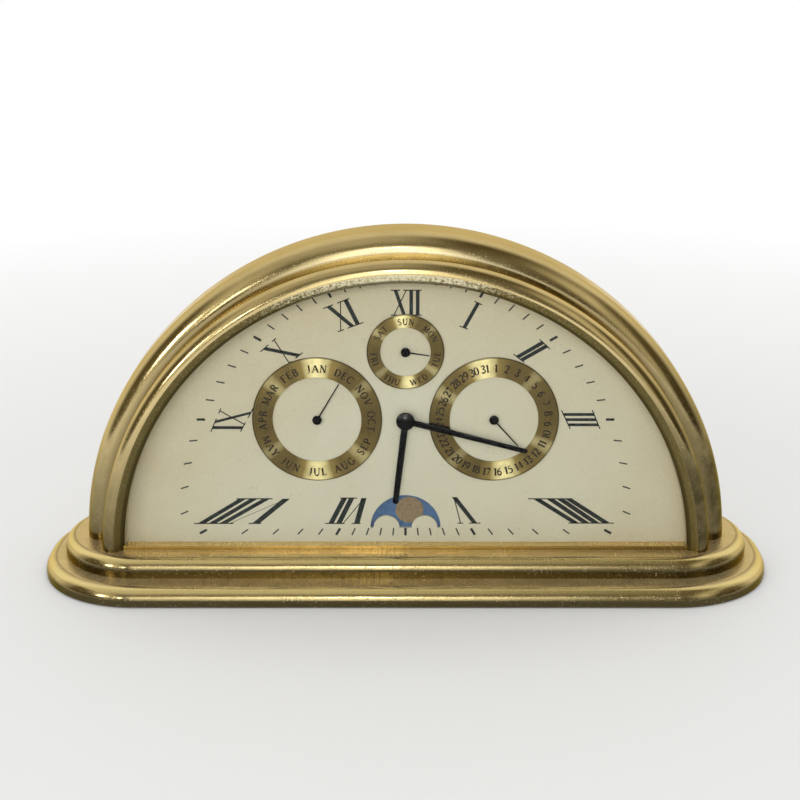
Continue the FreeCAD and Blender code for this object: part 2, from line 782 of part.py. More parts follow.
# minute wheel and its pinion on a stud of the calendar plate
wheel_teeth = int(size("minute_wheel_teeth"))
pinion_teeth = int(size("minute_pinion_teeth"))
half_pitch = math.pi / wheel_teeth
stud = size("wheel_stud_radius")
wheel_phase = train_direction + math.pi + half_pitch
minute_solid = wheel_shape(gear_face(wheel_teeth, module, wheel_phase),
                           "minute_wheel_front", "minute_wheel_back", wheel_x, wheel_z)
pinion_phase = train_direction + math.pi + math.pi / pinion_teeth
pinion = wheel_shape(gear_face(pinion_teeth, hour_module, pinion_phase), "hour_wheel_front",
                     "minute_wheel_front", wheel_x, wheel_z)
minute_solid = minute_solid.fuse(pinion)
minute_solid = minute_solid.cut(tube(stud + clearance, 0, size("hour_wheel_front") - 1,
                                     size("minute_wheel_back") + 1, wheel_x, wheel_z))
shape_part("minute_wheel", minute_solid)

# set pinion: meshes with the minute wheel, its arbor ends in the knob
set_teeth = int(size("set_pinion_teeth"))
far_side = (train_direction - wheel_phase) / (2 * math.pi / wheel_teeth)
offset_share = far_side - math.floor(far_side)
set_phase = train_direction + math.pi + math.pi / set_teeth
set_phase += offset_share * 2 * math.pi / set_teeth
setter = wheel_shape(gear_face(set_teeth, module, set_phase), "minute_wheel_front",
                     "minute_wheel_back", setter_x, setter_z)
setter = setter.fuse(tube(arbor, 0, size("minute_wheel_front"),
                          size("knob_back") - size("knob_web"), setter_x, setter_z))
shape_part("set_pinion", setter)


def star_wheel(label, teeth, radius, place):
    """Star on its pointer's arbor, turning in the calendar plate."""
    x, z = place
    face = toothed(teeth, radius, radius - size("star_tooth_depth"), size("star_tip_share"),
                   size("star_root_share"), 0.0)
    solid = wheel_shape(face, "star_front", "star_back", x, z)
    solid = solid.fuse(tube(size("pointer_arbor_radius"), 0, size("pointer_front"),
                            size("plate_back"), x, z))
    shape_part(label, solid)


spacing = size("subdial_spacing")
for display, place in (("month", (-spacing, centre_z)), ("date", (spacing, centre_z)),
                       ("day", (0, size("day_z")))):
    star_wheel(display + "_star", int(size(display + "_star_teeth")),
               size(display + "_star_radius"), place)

moon_radius = size("moon_disc_radius")
moon_face = toothed(int(size("moon_disc_teeth")), moon_radius,
                    moon_radius - size("moon_tooth_depth"), size("star_tip_share"),
                    size("star_root_share"), 0.0)
moon = wheel_shape(moon_face, "moon_disc_front", "moon_disc_back", 0, size("moon_z"))
moon = moon.fuse(tube(size("pointer_arbor_radius"), 0, size("moon_disc_front"),
                      size("plate_back"), 0, size("moon_z")))
shape_part("moon_disc", moon)


# ---- hands ----

def hand(label, centre, levels, blade, boss, bore, angle):
    """Flat pointed hand with a round boss, drawn at twelve and turned clockwise to its angle."""
    back, front, boss_front = [size(level) for level in levels]
    reach, root_half, tip_half = size(blade[0]), size(blade[1]) / 2, size(blade[2]) / 2
    outline = [Vector(-root_half, 0, 0), Vector(-tip_half, 0, reach - tip_half),
               Vector(0, 0, reach), Vector(tip_half, 0, reach - tip_half),
               Vector(root_half, 0, 0), Vector(-root_half, 0, 0)]
    solid = Part.Face(Part.makePolygon(outline)).extrude(Vector(0, back - front, 0))
    solid = solid.fuse(tube(size(boss), 0, boss_front - front, back - front, 0, 0))
    hole = tube(size(bore) + size("press_clearance"), 0, boss_front - front - 1,
                back - front + 1, 0, 0)
    feature = doc.addObject("Part::Feature", "Hand")
    feature.Shape = solid.cut(hole).removeSplitter()
    feature.Placement = Placement(Vector(0, 0, 0), Rotation(Vector(0, 1, 0), size(angle)))
    link(feature, "Placement.Base.x", centre[0])
    link(feature, "Placement.Base.y", levels[1])
    link(feature, "Placement.Base.z", centre[1])
    part(feature, label)


for display in ("month", "date", "day"):
    hand(display + "_pointer", pointer_places[display],
         ("pointer_back", "pointer_front", "hub_front"),
         (display + "_pointer_length", "pointer_width", "pointer_tip_width"),
         "pointer_hub_radius", "pointer_arbor_radius", display + "_angle")
centre = ("0", "dial_centre_height")
hand("hour_hand", centre, ("hour_back", "hour_front", "hour_front"),
     ("hour_length", "hour_width", "hour_tip_width"), "hour_boss_radius", "hour_pipe_radius",
     "hour_angle")
hand("minute_hand", centre, ("minute_back", "minute_front", "minute_front"),
     ("minute_length", "minute_width", "minute_tip_width"), "minute_boss_radius",
     "arbor_radius", "minute_angle")

cap_blank = rod("cap_radius", "cap_front", "minute_front", *centre)
cap_bore = rod("arbor_radius + press_clearance", "minute_front - cap_bore_depth - thread_clearance",
               "minute_front + 1", *centre)
cap = doc.addObject("Part::Fillet", "Cap")
doc.recompute()
cap.Base = cut(cap_blank, cap_bore)
doc.recompute()
cap.Edges = [(i + 1, size("cap_edge_radius"), size("cap_edge_radius"))
             for i, e in enumerate(cap.Base.Shape.Edges)
             if near(e.BoundBox.YMax, size("cap_front")) and near(e.BoundBox.YMin, size("cap_front"))]
part(cap, "hand_cap")

# ---- calendar plate: carries the works, the movement and the pillars of the back cover ----

pusher_places = {
    "month": ("month_pusher_x", "dial_centre_height"),
    "date": ("date_pusher_x", "dial_centre_height"),
    "day": ("0", "day_pusher_z"),
    "moon": ("moon_pusher_x", "moon_pusher_z"),
}
pillar_places = [on_circle("(flange_bore - pillar_margin)", angle)
                 for angle in ("pillar_low * 1deg", "pillar_high * 1deg",
                               "180deg - pillar_high * 1deg", "180deg - pillar_low * 1deg")]
lug_x = "(movement_half_width + lug_length / 2)"
lug_places = [(sign + lug_x, z) for sign in ("", "-")
              for z in ("movement_bottom + lug_height", "movement_top - lug_height")]


def plate_hole(radius, x, z):
    return rod(radius, "plate_front - 1", "plate_back + 1", x, z)


setter = ("setter_x", "setter_z")
plate_holes = [plate_hole("arbor_radius + running_clearance", *place)
               for place in (centre, setter)]
plate_holes += [plate_hole("pointer_arbor_radius + running_clearance", x, z)
                for x, z in list(pointer_places.values()) + [("0", "moon_z")]]
plate_holes += [plate_hole("pusher_radius + running_clearance", x, z)
                for x, z in pusher_places.values()]
plate_holes += [plate_hole("stud_radius + thread_clearance", x, z)
                for x, z in foot_places + pillar_places]
plate_holes += [plate_hole("small_screw_radius + thread_clearance", x, z)
                for x, z in lug_places + [on_circle(plate_screw_circle, a) for a in plate_angles]]
blank = half_disc("arch_bore - plate_clearance", "sill_top", "plate_front", "plate_back")
wheel_stud = rod("wheel_stud_radius", "hour_wheel_front", "plate_front", "wheel_x", "wheel_z")
part(fuse(cut(blank, *plate_holes), wheel_stud), "calendar_plate")


def small_screw(seat, tip, x, z):
    """Cheese-head screw from the back; the head sits on the seat."""
    head = rod("small_head_radius", seat, seat + " + small_head_height", x, z)
    shank = rod("small_screw_radius", tip, seat, x, z)
    slot = block((x + " - small_head_radius - 1", x + " + small_head_radius + 1"),
                 (seat + " + small_head_height / 2", seat + " + small_head_height + 1"),
                 (z + " - slot_width / 2", z + " + slot_width / 2"))
    return cut(fuse(head, shank), slot)


def flange_screw(x, z):
    """Screw from the front, through the calendar plate into the arch's flange."""
    head = rod("small_head_radius", "plate_front - small_head_height", "plate_front", x, z)
    shank = rod("small_screw_radius", "plate_front", "flange_back", x, z)
    slot = block((x + " - small_head_radius - 1", x + " + small_head_radius + 1"),
                 ("plate_front - small_head_height - 1", "plate_front - small_head_height / 2"),
                 (z + " - slot_width / 2", z + " + slot_width / 2"))
    return cut(fuse(head, shank), slot)


part(group(*[flange_screw(*on_circle(plate_screw_circle, a)) for a in plate_angles]),
     "plate_screws")
part(group(*[small_screw("plate_back + lug_thickness", "plate_front", x, z)
             for x, z in lug_places]), "movement_screws")

# ---- movement: moulded case with a cell bay, lid, board, coil, cell and contacts ----

across = ("-movement_half_width", "movement_half_width")
inside = ("-(movement_half_width - movement_wall)", "movement_half_width - movement_wall")
shell = block(across, ("plate_back", "movement_back"), ("movement_bottom", "movement_top"))
lugs = [block(x, ("plate_back", "plate_back + lug_thickness"), z)
        for x in (("-(movement_half_width + lug_length)", "-movement_half_width + 1"),
                  ("movement_half_width - 1", "movement_half_width + lug_length"))
        for z in (("movement_bottom", "movement_bottom + 2 * lug_height"),
                  ("movement_top - 2 * lug_height", "movement_top"))]
works_room = block(inside, ("plate_back + movement_wall", "movement_back + 1"),
                   ("bay_top + movement_wall", "movement_top - movement_wall"))
cell_room = block(("-bay_half_width", "bay_half_width"),
                  ("plate_back + bay_floor", "movement_back + 1"), ("bay_bottom", "bay_top"))
case_holes = [rod("small_screw_radius + thread_clearance", "plate_back - 1", "movement_back", x, z)
              for x, z in lug_places]
case_holes += [rod("arbor_radius + running_clearance", "plate_back - 1", "movement_back", *place)
               for place in (centre, setter)]
part(cut(fuse(shell, *lugs), works_room, cell_room, *case_holes), "movement_case")

lid = block(across, ("movement_back", "lid_back"), ("bay_top", "movement_top"))
part(cut(lid, rod("arbor_radius + running_clearance", "movement_back - 1", "lid_back + 1",
                  *setter)), "movement_lid")

board_edge = "movement_half_width - movement_wall - board_clearance"
board = block(("-(%s)" % board_edge, board_edge),
              ("movement_back - board_drop", "movement_back - board_drop + board_thickness"),
              ("bay_top + movement_wall + board_clearance",
               "movement_top - movement_wall - board_clearance"))
part(cut(board, rod("arbor_radius + board_clearance", "plate_back", "lid_back", *setter)),
     "circuit_board")
coil_y = "plate_back + movement_wall + coil_radius + board_clearance"
coil_z = "movement_top - movement_wall - coil_radius - board_clearance"
part(bar("coil_radius", "-(coil_offset + coil_length)", "-coil_offset", coil_y, coil_z),
     "drive_coil")

cell = fuse(bar("cell_radius", "-cell_half", "cell_half - cell_cap_length", "cell_y", "cell_z"),
            bar("cell_cap_radius", "cell_half - cell_cap_length - 1", "cell_half", "cell_y",
                "cell_z"))
part(cell, "battery_cell")
contact_width = ("cell_y - contact_width / 2", "cell_y + contact_width / 2")
contact_height = ("cell_z - contact_width / 2", "cell_z + contact_width / 2")
part(group(block(("-(cell_half + contact_gap + contact_thickness)", "-(cell_half + contact_gap)"),
                 contact_width, contact_height),
           block(("cell_half + contact_gap", "cell_half + contact_gap + contact_thickness"),
                 contact_width, contact_height)), "battery_contacts")

# ---- back cover on its pillars, knob, pushers and battery door ----


def pillar(x, z):
    column = fuse(rod("pillar_radius", "plate_back", "cover_front", x, z),
                  rod("stud_radius", "plate_front", "plate_back", x, z))
    return cut(column, rod("small_screw_radius + thread_clearance",
                           "cover_front - cover_screw_depth - thread_runout",
                           "cover_front + 1", x, z))


part(group(*[pillar(x, z) for x, z in pillar_places]), "cover_pillars")
part(group(*[small_screw("cover_back", "cover_front - cover_screw_depth", x, z)
             for x, z in pillar_places]), "cover_screws")


def cover_hole(radius, x, z):
    return rod(radius, "cover_front - 1", "cover_back + 1", x, z)


cover_blank = half_disc("glass_radius", seat_chord, "cover_front", "cover_back")
hatch = block(("-(door_half - door_overlap)", "door_half - door_overlap"),
              ("cover_front - 1", "cover_back + 1"),
              ("door_bottom + door_overlap", "door_bottom + door_height - door_overlap"))
cover_holes = [cover_hole("pusher_radius + running_clearance", x, z)
               for x, z in pusher_places.values()]
cover_holes += [cover_hole("small_screw_radius + screw_play", x, z) for x, z in pillar_places]
cover_holes.append(cover_hole("arbor_radius + running_clearance", *setter))
ear_ends = (("-door_half", "-(door_half - hinge_ear_length)"),
            ("door_half - hinge_ear_length", "door_half"))
ears = [bar("hinge_radius", left, right, "hinge_y", "hinge_z") for left, right in ear_ends]
ears += [block(ear, ("cover_front", "hinge_y"),
               ("hinge_z - hinge_radius", "hinge_z + hinge_radius")) for ear in ear_ends]
pin_way = bar("hinge_pin_radius + running_clearance", "-door_half - 1", "door_half + 1",
              "hinge_y", "hinge_z")
part(cut(fuse(cover_blank, *ears), hatch, pin_way, *cover_holes), "rear_cover")

barrel_half = "door_half - hinge_ear_length - hinge_end_gap"
leaf = block(("-door_half", "door_half"), ("door_front", "door_back"),
             ("door_bottom", "door_bottom + door_height"))
barrel = bar("hinge_radius", "-(%s)" % barrel_half, barrel_half, "hinge_y", "hinge_z")
web = block(("-(%s)" % barrel_half, barrel_half), ("door_front", "door_back"),
            ("hinge_z", "door_bottom + door_overlap"))
door_pin_hole = bar("hinge_pin_radius + thread_clearance", "-door_half", "door_half", "hinge_y",
                    "hinge_z")
pull = block(("-pull_width / 2", "pull_width / 2"), ("door_front", "door_back + pull_rise"),
             ("door_bottom + door_height - pull_thickness", "door_bottom + door_height"))
part(cut(fuse(leaf, barrel, web, pull), door_pin_hole), "battery_door")
part(bar("hinge_pin_radius", "-door_half", "door_half", "hinge_y", "hinge_z"), "hinge_pin")

knob_blank = rod("knob_radius", "knob_front", "knob_back", *setter)
knob_bore = rod("arbor_radius + press_clearance", "knob_front - 1",
                "knob_back - knob_web + thread_clearance", *setter)
flutes = []
for i in range(int(size("knob_flutes"))):
    angle = "%d * 360deg / knob_flutes" % i
    flutes.append(rod("knob_flute_radius", "knob_front - 1", "knob_back + 1",
                      "setter_x + flute_circle * sin(%s)" % angle,
                      "setter_z + flute_circle * cos(%s)" % angle))
part(cut(knob_blank, knob_bore, *flutes), "set_knob")

spring_radius = size("pusher_radius") + size("spring_clearance") + size("spring_wire_radius")
for display, (x, z) in pusher_places.items():
    part(fuse(rod("pusher_radius", "pusher_tip", "pusher_end", x, z),
              rod("pusher_collar_radius", "collar_front", "cover_front", x, z)),
         display + "_pusher")
    seat = size("plate_back") + size("spring_wire_radius")
    span = size("collar_front") - size("spring_wire_radius") - seat
    helix = Part.makeHelix(span / size("spring_turns"), span, spring_radius)
    wire_section = Part.Wire(Part.Circle(Vector(spring_radius, 0, 0), Vector(0, 1, 0),
                                         size("spring_wire_radius")).toShape())
    coil = Part.Wire(helix.Edges).makePipeShell([wire_section], True, True)
    spring = doc.addObject("Part::Feature", "Spring")
    spring.Shape = coil
    spring.Placement = Placement(Vector(0, seat, 0), Rotation(Vector(1, 0, 0), -90))
    link(spring, "Placement.Base.x", x)
    link(spring, "Placement.Base.z", z)
    part(spring, display + "_pusher_spring")

# ---- check and write ----

doc.recompute()
for obj in doc.Objects:
    if "Invalid" in obj.State or "Error" in obj.State:
        raise ValueError("%s (%s) failed: %s" % (obj.Label, obj.Name, obj.State))
for obj in subparts:
    if obj.Shape.isNull() or not obj.Shape.isValid():
        raise ValueError("%s has no valid shape" % obj.Label)

os.makedirs("parts", exist_ok=True)
for obj in subparts:
    obj.Shape.exportStep("parts/%s.step" % obj.Label)
    print("%-22s %2d solid(s) %10.1f mm3" % (obj.Label, len(obj.Shape.Solids), obj.Shape.Volume))
print("%d sub-parts" % len(subparts))
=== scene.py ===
import math

import bmesh
import bpy
from mathutils import Matrix, Vector


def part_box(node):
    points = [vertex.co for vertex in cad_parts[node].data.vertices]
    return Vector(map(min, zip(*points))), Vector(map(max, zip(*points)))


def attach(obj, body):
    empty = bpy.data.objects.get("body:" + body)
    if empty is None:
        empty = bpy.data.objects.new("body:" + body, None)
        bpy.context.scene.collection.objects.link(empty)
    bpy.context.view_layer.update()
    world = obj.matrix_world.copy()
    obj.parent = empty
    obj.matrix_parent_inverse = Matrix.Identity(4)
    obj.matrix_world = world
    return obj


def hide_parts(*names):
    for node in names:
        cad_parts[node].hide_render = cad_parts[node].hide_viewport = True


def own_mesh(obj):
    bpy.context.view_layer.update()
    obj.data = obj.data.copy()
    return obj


# Half-round calendar desk clock. Sizes are millimetres, and mm turns them into Blender's metres.
mm = 0.001

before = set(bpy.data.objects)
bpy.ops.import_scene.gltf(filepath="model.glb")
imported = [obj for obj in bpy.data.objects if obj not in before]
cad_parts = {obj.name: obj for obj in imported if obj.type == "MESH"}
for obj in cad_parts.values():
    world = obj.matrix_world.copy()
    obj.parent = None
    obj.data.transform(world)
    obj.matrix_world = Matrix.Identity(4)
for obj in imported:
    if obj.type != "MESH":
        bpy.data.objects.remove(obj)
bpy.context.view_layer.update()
print("frame loaded")

tiny = 1e-7  # metres; points closer than this are one
discSteps = 64
dialCentre = (0.0, 47.0)
ringCentres = {"month": (-24.1, 47.0), "date": (24.1, 47.0), "day": (0.0, 66.2)}
archAxis = 8.0  # height of the line that the arch turns about
archMiddle = 85.0  # radius along which patterns run round the arch


def placeObject(name, data):
    thing = bpy.data.objects.new(name, data)
    bpy.context.scene.collection.objects.link(thing)
    return thing


def meshObject(name, bm):
    mesh = bpy.data.meshes.new(name)
    bm.to_mesh(mesh)
    bm.free()
    return placeObject(name, mesh)


def finishedMesh(thing):
    # the mesh of an object with its modifiers or its curve settings worked in
    graph = bpy.context.evaluated_depsgraph_get()
    return bpy.data.meshes.new_from_object(thing.evaluated_get(graph))


def newPiece(name, bm, material, body="case", replaced=(), sharpAngle=35,
             evenNormals=False):
    bmesh.ops.remove_doubles(bm, verts=bm.verts, dist=tiny)
    bmesh.ops.recalc_face_normals(bm, faces=bm.faces)
    piece = meshObject(name, bm)
    piece.data.shade_smooth()
    piece.data.set_sharp_from_angle(angle=math.radians(sharpAngle))
    piece.data.materials.append(material)
    if evenNormals:  # keeps the flats flat beside their rounded edges
        piece.modifiers.new("evenNormals", "WEIGHTED_NORMAL").keep_sharp = True
    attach(piece, body)
    if replaced:
        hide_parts(*replaced)
    return piece


def bevel(bm, parts, radius, segments, affect="EDGES"):
    bmesh.ops.bevel(bm, geom=parts, offset=radius * mm, offset_type="OFFSET", affect=affect,
                    segments=segments, profile=0.5, material=-1)


def extrude(bm, faces, y=0.0, z=0.0, keep=True):
    made = bmesh.ops.extrude_face_region(bm, geom=faces)
    if not keep:
        bmesh.ops.delete(bm, geom=faces, context="FACES_ONLY")
    verts = [v for v in made["geom"] if isinstance(v, bmesh.types.BMVert)]
    bmesh.ops.translate(bm, verts=verts, vec=(0, y, z))


def partsAt(parts, axis, level):
    # edges or faces that lie in one plane across an axis
    return [part for part in parts if all(abs(v.co[axis] - level) < tiny for v in part.verts)]


def turnForward(bm, verts):
    bmesh.ops.rotate(bm, cent=(0, 0, 0), matrix=Matrix.Rotation(math.pi / 2, 3, "X"), verts=verts)


def addDisc(bm, radius, x, y, z):
    disc = bmesh.ops.create_circle(bm, cap_ends=True, segments=discSteps,
                                   radius=radius * mm)["verts"]
    turnForward(bm, disc)
    bmesh.ops.translate(bm, vec=(x * mm, y * mm, z * mm), verts=disc)


def addBox(bm, low, high):
    made = bmesh.ops.create_cube(bm, size=1.0)["verts"]
    low, high = Vector(low) * mm, Vector(high) * mm
    bmesh.ops.scale(bm, vec=high - low, verts=made)
    bmesh.ops.translate(bm, vec=(low + high) / 2, verts=made)


def carve(piece, low, high):
    # takes a box out of a finished piece
    box = bmesh.new()
    addBox(box, low, high)
    cutter = meshObject("cutter", box)
    knife = piece.modifiers.new("knife", "BOOLEAN")
    knife.object = cutter
    knife.solver = "EXACT"
    carved = finishedMesh(piece)
    piece.modifiers.remove(knife)
    piece.data = carved
    bpy.data.objects.remove(cutter)


def newMaterial(name):
    material = bpy.data.materials.new(name)
    material.use_nodes = True
    return material, material.node_tree, material.node_tree.nodes["Principled BSDF"]


def setSocket(tree, socket, value):
    # a number or a plain colour stands on the socket itself, and anything else is linked to it
    if isinstance(value, (int, float)):
        socket.default_value = value
    elif isinstance(value, tuple):
        socket.default_value = (*value, 1.0) if socket.type == "RGBA" else value
    else:
        tree.links.new(value, socket)


def setSockets(tree, node, values):
    for socketName, value in values.items():
        setSocket(tree, node.inputs[socketName], value)


def newGroup(name, inputs, outputs):
    # an input with no value is the coordinates, a number a float and the rest are colours
    group = bpy.data.node_groups.new(name, "ShaderNodeTree")
    for socketName, value in inputs.items():
        kind = "Vector" if value is None else "Float" if isinstance(value, float) else "Color"
        socket = group.interface.new_socket(name=socketName, in_out="INPUT",
                                            socket_type="NodeSocket" + kind)
        if value is not None:
            socket.default_value = value
    for socketName in outputs:
        kind = "Color" if socketName == "Color" else "Float"
        group.interface.new_socket(name=socketName, in_out="OUTPUT",
                                   socket_type="NodeSocket" + kind)
    return group, group.nodes.new("NodeGroupInput").outputs, group.nodes.new("NodeGroupOutput")


def placeGroup(tree, group, **values):
    node = tree.nodes.new("ShaderNodeGroup")
    node.node_tree = group
    setSockets(tree, node, values)
    return node.outputs


def addNode(tree, kind, output, inputs, **settings):
    node = tree.nodes.new("ShaderNode" + kind)
    for setting, value in settings.items():
        setattr(node, setting, value)
    for socket, value in inputs.items():
        setSocket(tree, node.inputs[socket], value)
    return node.outputs[output]


def addMath(tree, operation, first, second=0.5, clamp=False):
    return addNode(tree, "Math", 0, {0: first, 1: second}, operation=operation, use_clamp=clamp)


def times(tree, first, second):
    return addMath(tree, "MULTIPLY", first, second)


def plus(tree, first, second, clamp=False):
    return addMath(tree, "ADD", first, second, clamp)


def minus(tree, first, second, clamp=False):
    return addMath(tree, "SUBTRACT", first, second, clamp)


def addMix(tree, factor, first, second):
    return addNode(tree, "Mix", 2, {0: factor, 6: first, 7: second}, data_type="RGBA")


def addNoise(tree, vector, scale, detail, roughness, distortion=0.0):
    return addNode(tree, "TexNoise", "Fac", {"Vector": vector, "Scale": scale, "Detail": detail,
                                             "Roughness": roughness, "Distortion": distortion})


def addRange(tree, value, low, high, newLow=0.0, newHigh=1.0):
    return addNode(tree, "MapRange", "Result", {"Value": value, "From Min": low, "From Max": high,
                                                "To Min": newLow, "To Max": newHigh})


def addZone(tree, value, zone, newLow=0.0, newHigh=1.0):
    # the same between two lengths in millimetres
    return addRange(tree, value, zone[0] * mm, zone[1] * mm, newLow, newHigh)


def addBump(tree, height, strength, distance):
    return addNode(tree, "Bump", "Normal",
                   {"Height": height, "Strength": strength, "Distance": distance * mm})


def addMapping(tree, vector, **settings):
    return addNode(tree, "Mapping", "Vector", {"Vector": vector, **settings})


def addJoin(tree, **parts):
    return addNode(tree, "CombineXYZ", 0, parts)


def addLength(tree, vector):
    return addNode(tree, "VectorMath", "Value", {0: vector}, operation="LENGTH")


def addSplit(tree, vector):
    node = tree.nodes.new("ShaderNodeSeparateXYZ")
    tree.links.new(vector, node.inputs[0])
    return node.outputs


def coordinates(tree, kind="Object"):
    return tree.nodes.new("ShaderNodeTexCoord").outputs[kind]


def facingUp(tree):
    # 1 where a face looks straight up, 0 where it stands upright
    return addSplit(tree, tree.nodes.new("ShaderNodeNewGeometry").outputs["Normal"])["Z"]


def archCoordinates(tree):
    # first axis runs along the arch, second through it and third outwards
    across, through, above = addSplit(tree, coordinates(tree))
    height = minus(tree, above, archAxis * mm)
    angle = addMath(tree, "ARCTAN2", across, height)
    square = plus(tree, times(tree, across, across), times(tree, height, height))
    vector = addJoin(tree, X=times(tree, angle, archMiddle * mm), Y=through,
                     Z=addMath(tree, "SQRT", square))
    return vector, above


def makeTarnish():
    # slow clouds of duller metal with small dark specks in them
    group, source, target = newGroup(
        "tarnish", {"Vector": None, "Clean": (0.8, 0.6, 0.25, 1), "Dull": (0.5, 0.34, 0.12, 1),
                    "Clouds": 0.3, "Specks": 0.5}, ("Color", "Mask"))
    vector = source["Vector"]
    clouds = addRange(group, addNoise(group, vector, 38.0, 4.0, 0.6), 0.42, 0.72)
    specks = addRange(group, addNoise(group, vector, 900.0, 2.0, 0.5), 0.70, 0.78)
    where = addRange(group, addNoise(group, vector, 60.0, 2.0, 0.5), 0.5, 0.62)
    speckMask = times(group, times(group, specks, where), source["Specks"])
    mask = plus(group, speckMask, times(group, clouds, source["Clouds"]), clamp=True)
    setSockets(group, target, {"Color": addMix(group, mask, source["Clean"], source["Dull"]),
                               "Mask": mask})
    return group


def makeHandling():
    # fine wiping scratches and finger haze, as a height and a roughness mask
    group, source, target = newGroup(
        "handling", {"Vector": None, "Scratches": 0.5, "Haze": 0.5}, ("Height", "Mask"))
    vector = source["Vector"]
    lines = None
    for turn, scale in ((0.3, 2080.0), (1.7, 2480.0), (2.6, 1840.0)):
        drawn = addMapping(group, vector, Rotation=(turn, turn * 0.7, turn * 1.3),
                           Scale=(1.0, 0.04, 1.0))
        line = addRange(group, addNoise(group, drawn, scale, 1.0, 0.4), 0.66, 0.74)
        lines = line if lines is None else addMath(group, "MAXIMUM", lines, line)
    scratches = times(group, lines, source["Scratches"])
    smear = addRange(group, addNoise(group, vector, 70.0, 4.0, 0.65, 0.6), 0.4, 0.7)
    pebble = addNoise(group, vector, 420.0, 2.0, 0.5)
    setSockets(group, target, {
        "Height": minus(group, times(group, pebble, 0.35), scratches),
        "Mask": plus(group, times(group, smear, source["Haze"]), scratches, clamp=True)})
    return group


def makeDust():
    # pale dust that settles on what faces up, in thin patches
    group, source, target = newGroup(
        "dust", {"Vector": None, "Color": (0.5, 0.5, 0.5, 1), "Dust Color": (0.78, 0.57, 0.31, 1),
                 "Amount": 0.3}, ("Color", "Mask"))
    up = addRange(group, facingUp(group), 0.90, 0.995)
    patches = addNoise(group, source["Vector"], 180.0, 5.0, 0.7)
    patches = addRange(group, patches, 0.25, 0.65, 0.5, 1.0)
    mask = times(group, times(group, up, patches), source["Amount"])
    setSockets(group, target, {
        "Color": addMix(group, mask, source["Color"], source["Dust Color"]), "Mask": mask})
    return group


def makeBrushing():
    # straight brushing along the first axis of the vector
    group, source, target = newGroup(
        "brushing", {"Vector": None, "Fineness": 900.0}, ("Height", "Mask"))
    drawn = addMapping(group, source["Vector"], Scale=(0.015, 1.0, 1.0))
    lines = addNoise(group, drawn, source["Fineness"], 3.0, 0.5)
    setSockets(group, target, {"Height": lines, "Mask": addRange(group, lines, 0.35, 0.65)})
    return group


def makePolishMarks():
    # soft patches and streaks that buffing leaves along the first axis, and painted glints in the
    # colour
    group, source, target = newGroup(
        "polishMarks", {"Vector": None, "Streaks": 0.6, "Sparkle": 0.5},
        ("Mask", "Bright", "Height"))
    vector = source["Vector"]
    broad = addNoise(group, addMapping(group, vector, Scale=(0.35, 1.0, 1.0)), 210.0, 4.0, 0.65)
    broad = addRange(group, broad, 0.42, 0.68)
    fine = addNoise(group, addMapping(group, vector, Scale=(0.12, 1.0, 1.0)), 1100.0, 3.0, 0.6)
    lines = addRange(group, fine, 0.45, 0.7)
    both = plus(group, times(group, broad, 0.6), times(group, lines, 0.4))
    # painted glints where the grit is bright
    grit = addRange(group, addNoise(group, vector, 1900.0, 2.0, 0.6), 0.62, 0.72)
    paintedGlint = times(group, times(group, grit, broad), source["Sparkle"])
    setSockets(group, target, {"Mask": times(group, both, source["Streaks"]), "Bright": paintedGlint,
                               "Height": plus(group, times(group, fine, 0.5), paintedGlint)})
    return group


tarnish, handling, dust = makeTarnish(), makeHandling(), makeDust()
brushing, polishMarks = makeBrushing(), makePolishMarks()


brassLook = {
    "clean": (0.74, 0.585, 0.29),
    "dull": (0.40, 0.31, 0.135),
    "paintedGlint": (0.95, 0.86, 0.55),
    # painted shade
    "paintedShade": (0.085, 0.068, 0.03),
    # painted shade in the crease down the sides of the arch
    "creaseShade": (0.24, 0.185, 0.085),
    # painted highlight on the plinth shoulders
    "paintedHighlight": (0.95, 0.78, 0.36),
    # paler painted tone in the crease at the top of the arch
    "worn": (0.62, 0.55, 0.37),
    "edge": (0.84, 0.72, 0.44),
    "roughness": (0.07, 0.30),
    "clouds": 0.25,
    "specks": 0.7,
    "streaks": 0.65,
    "sparkle": 0.4,
    "haze": 0.35,
    "bump": 0.08,
    "dust": 0.05,
    "wallShade": 0.0,
    "crease": 0.8,
    "creaseOut": (84.6, 86.8),
    "creaseFront": -11.2,
    "creaseTop": (15.0, 45.0),
    "lean": 0.15,
}
plinthLook = {**brassLook, "sparkle": 0.9, "bump": 0.22, "dust": 0.3, "wallShade": 0.95, "crease": 0.0,
              "lean": 0.0}
sillLook = {**brassLook, "clean": (0.90, 0.71, 0.37), "streaks": 0.3, "dust": 0.3, "wallShade": 0.5,
            "crease": 0.0, "lean": 0.0}
# heights between which painted shade comes in and fades out, and how strong it is; on the plinth it
# is painted dark reflection on the walls and thin painted dark lines along the rounds
plinthShadeBands = [((5.9, 6.2), (7.2, 8.2), 0.6), ((0.4, 0.9), (2.0, 3.0), 0.7),
               ((10.12, 10.2), (10.26, 10.29), 0.6), ((4.92, 5.0), (5.06, 5.09), 0.6)]
# painted dark reflection low on the arch, fading out upwards
archShadeBands = [((8.0, 9.0), (20.0, 62.0), 1.0)]
# a painted contact shadow along the foot of the sill
sillShadeBands = [((10.0, 10.2), (10.4, 10.5), 0.5)]


# paints shade into the colour in bands by height, patchy, and reaching higher on the right
def addGrime(tree, zones, lean):
    place = coordinates(tree)
    patchy = addRange(tree, addNoise(tree, place, 260.0, 4.0, 0.7), 0.3, 0.6, 0.85, 1.0)
    split = addSplit(tree, place)
    above = split["Z"]
    height = minus(tree, above, times(tree, split["X"], lean))  # darker on the right
    total = None
    for start, end, strength in zones:
        band = times(tree, addZone(tree, above, start), addZone(tree, height, end, strength, 0.0))
        total = band if total is None else addMath(tree, "MAXIMUM", total, band)
    return times(tree, total, patchy)


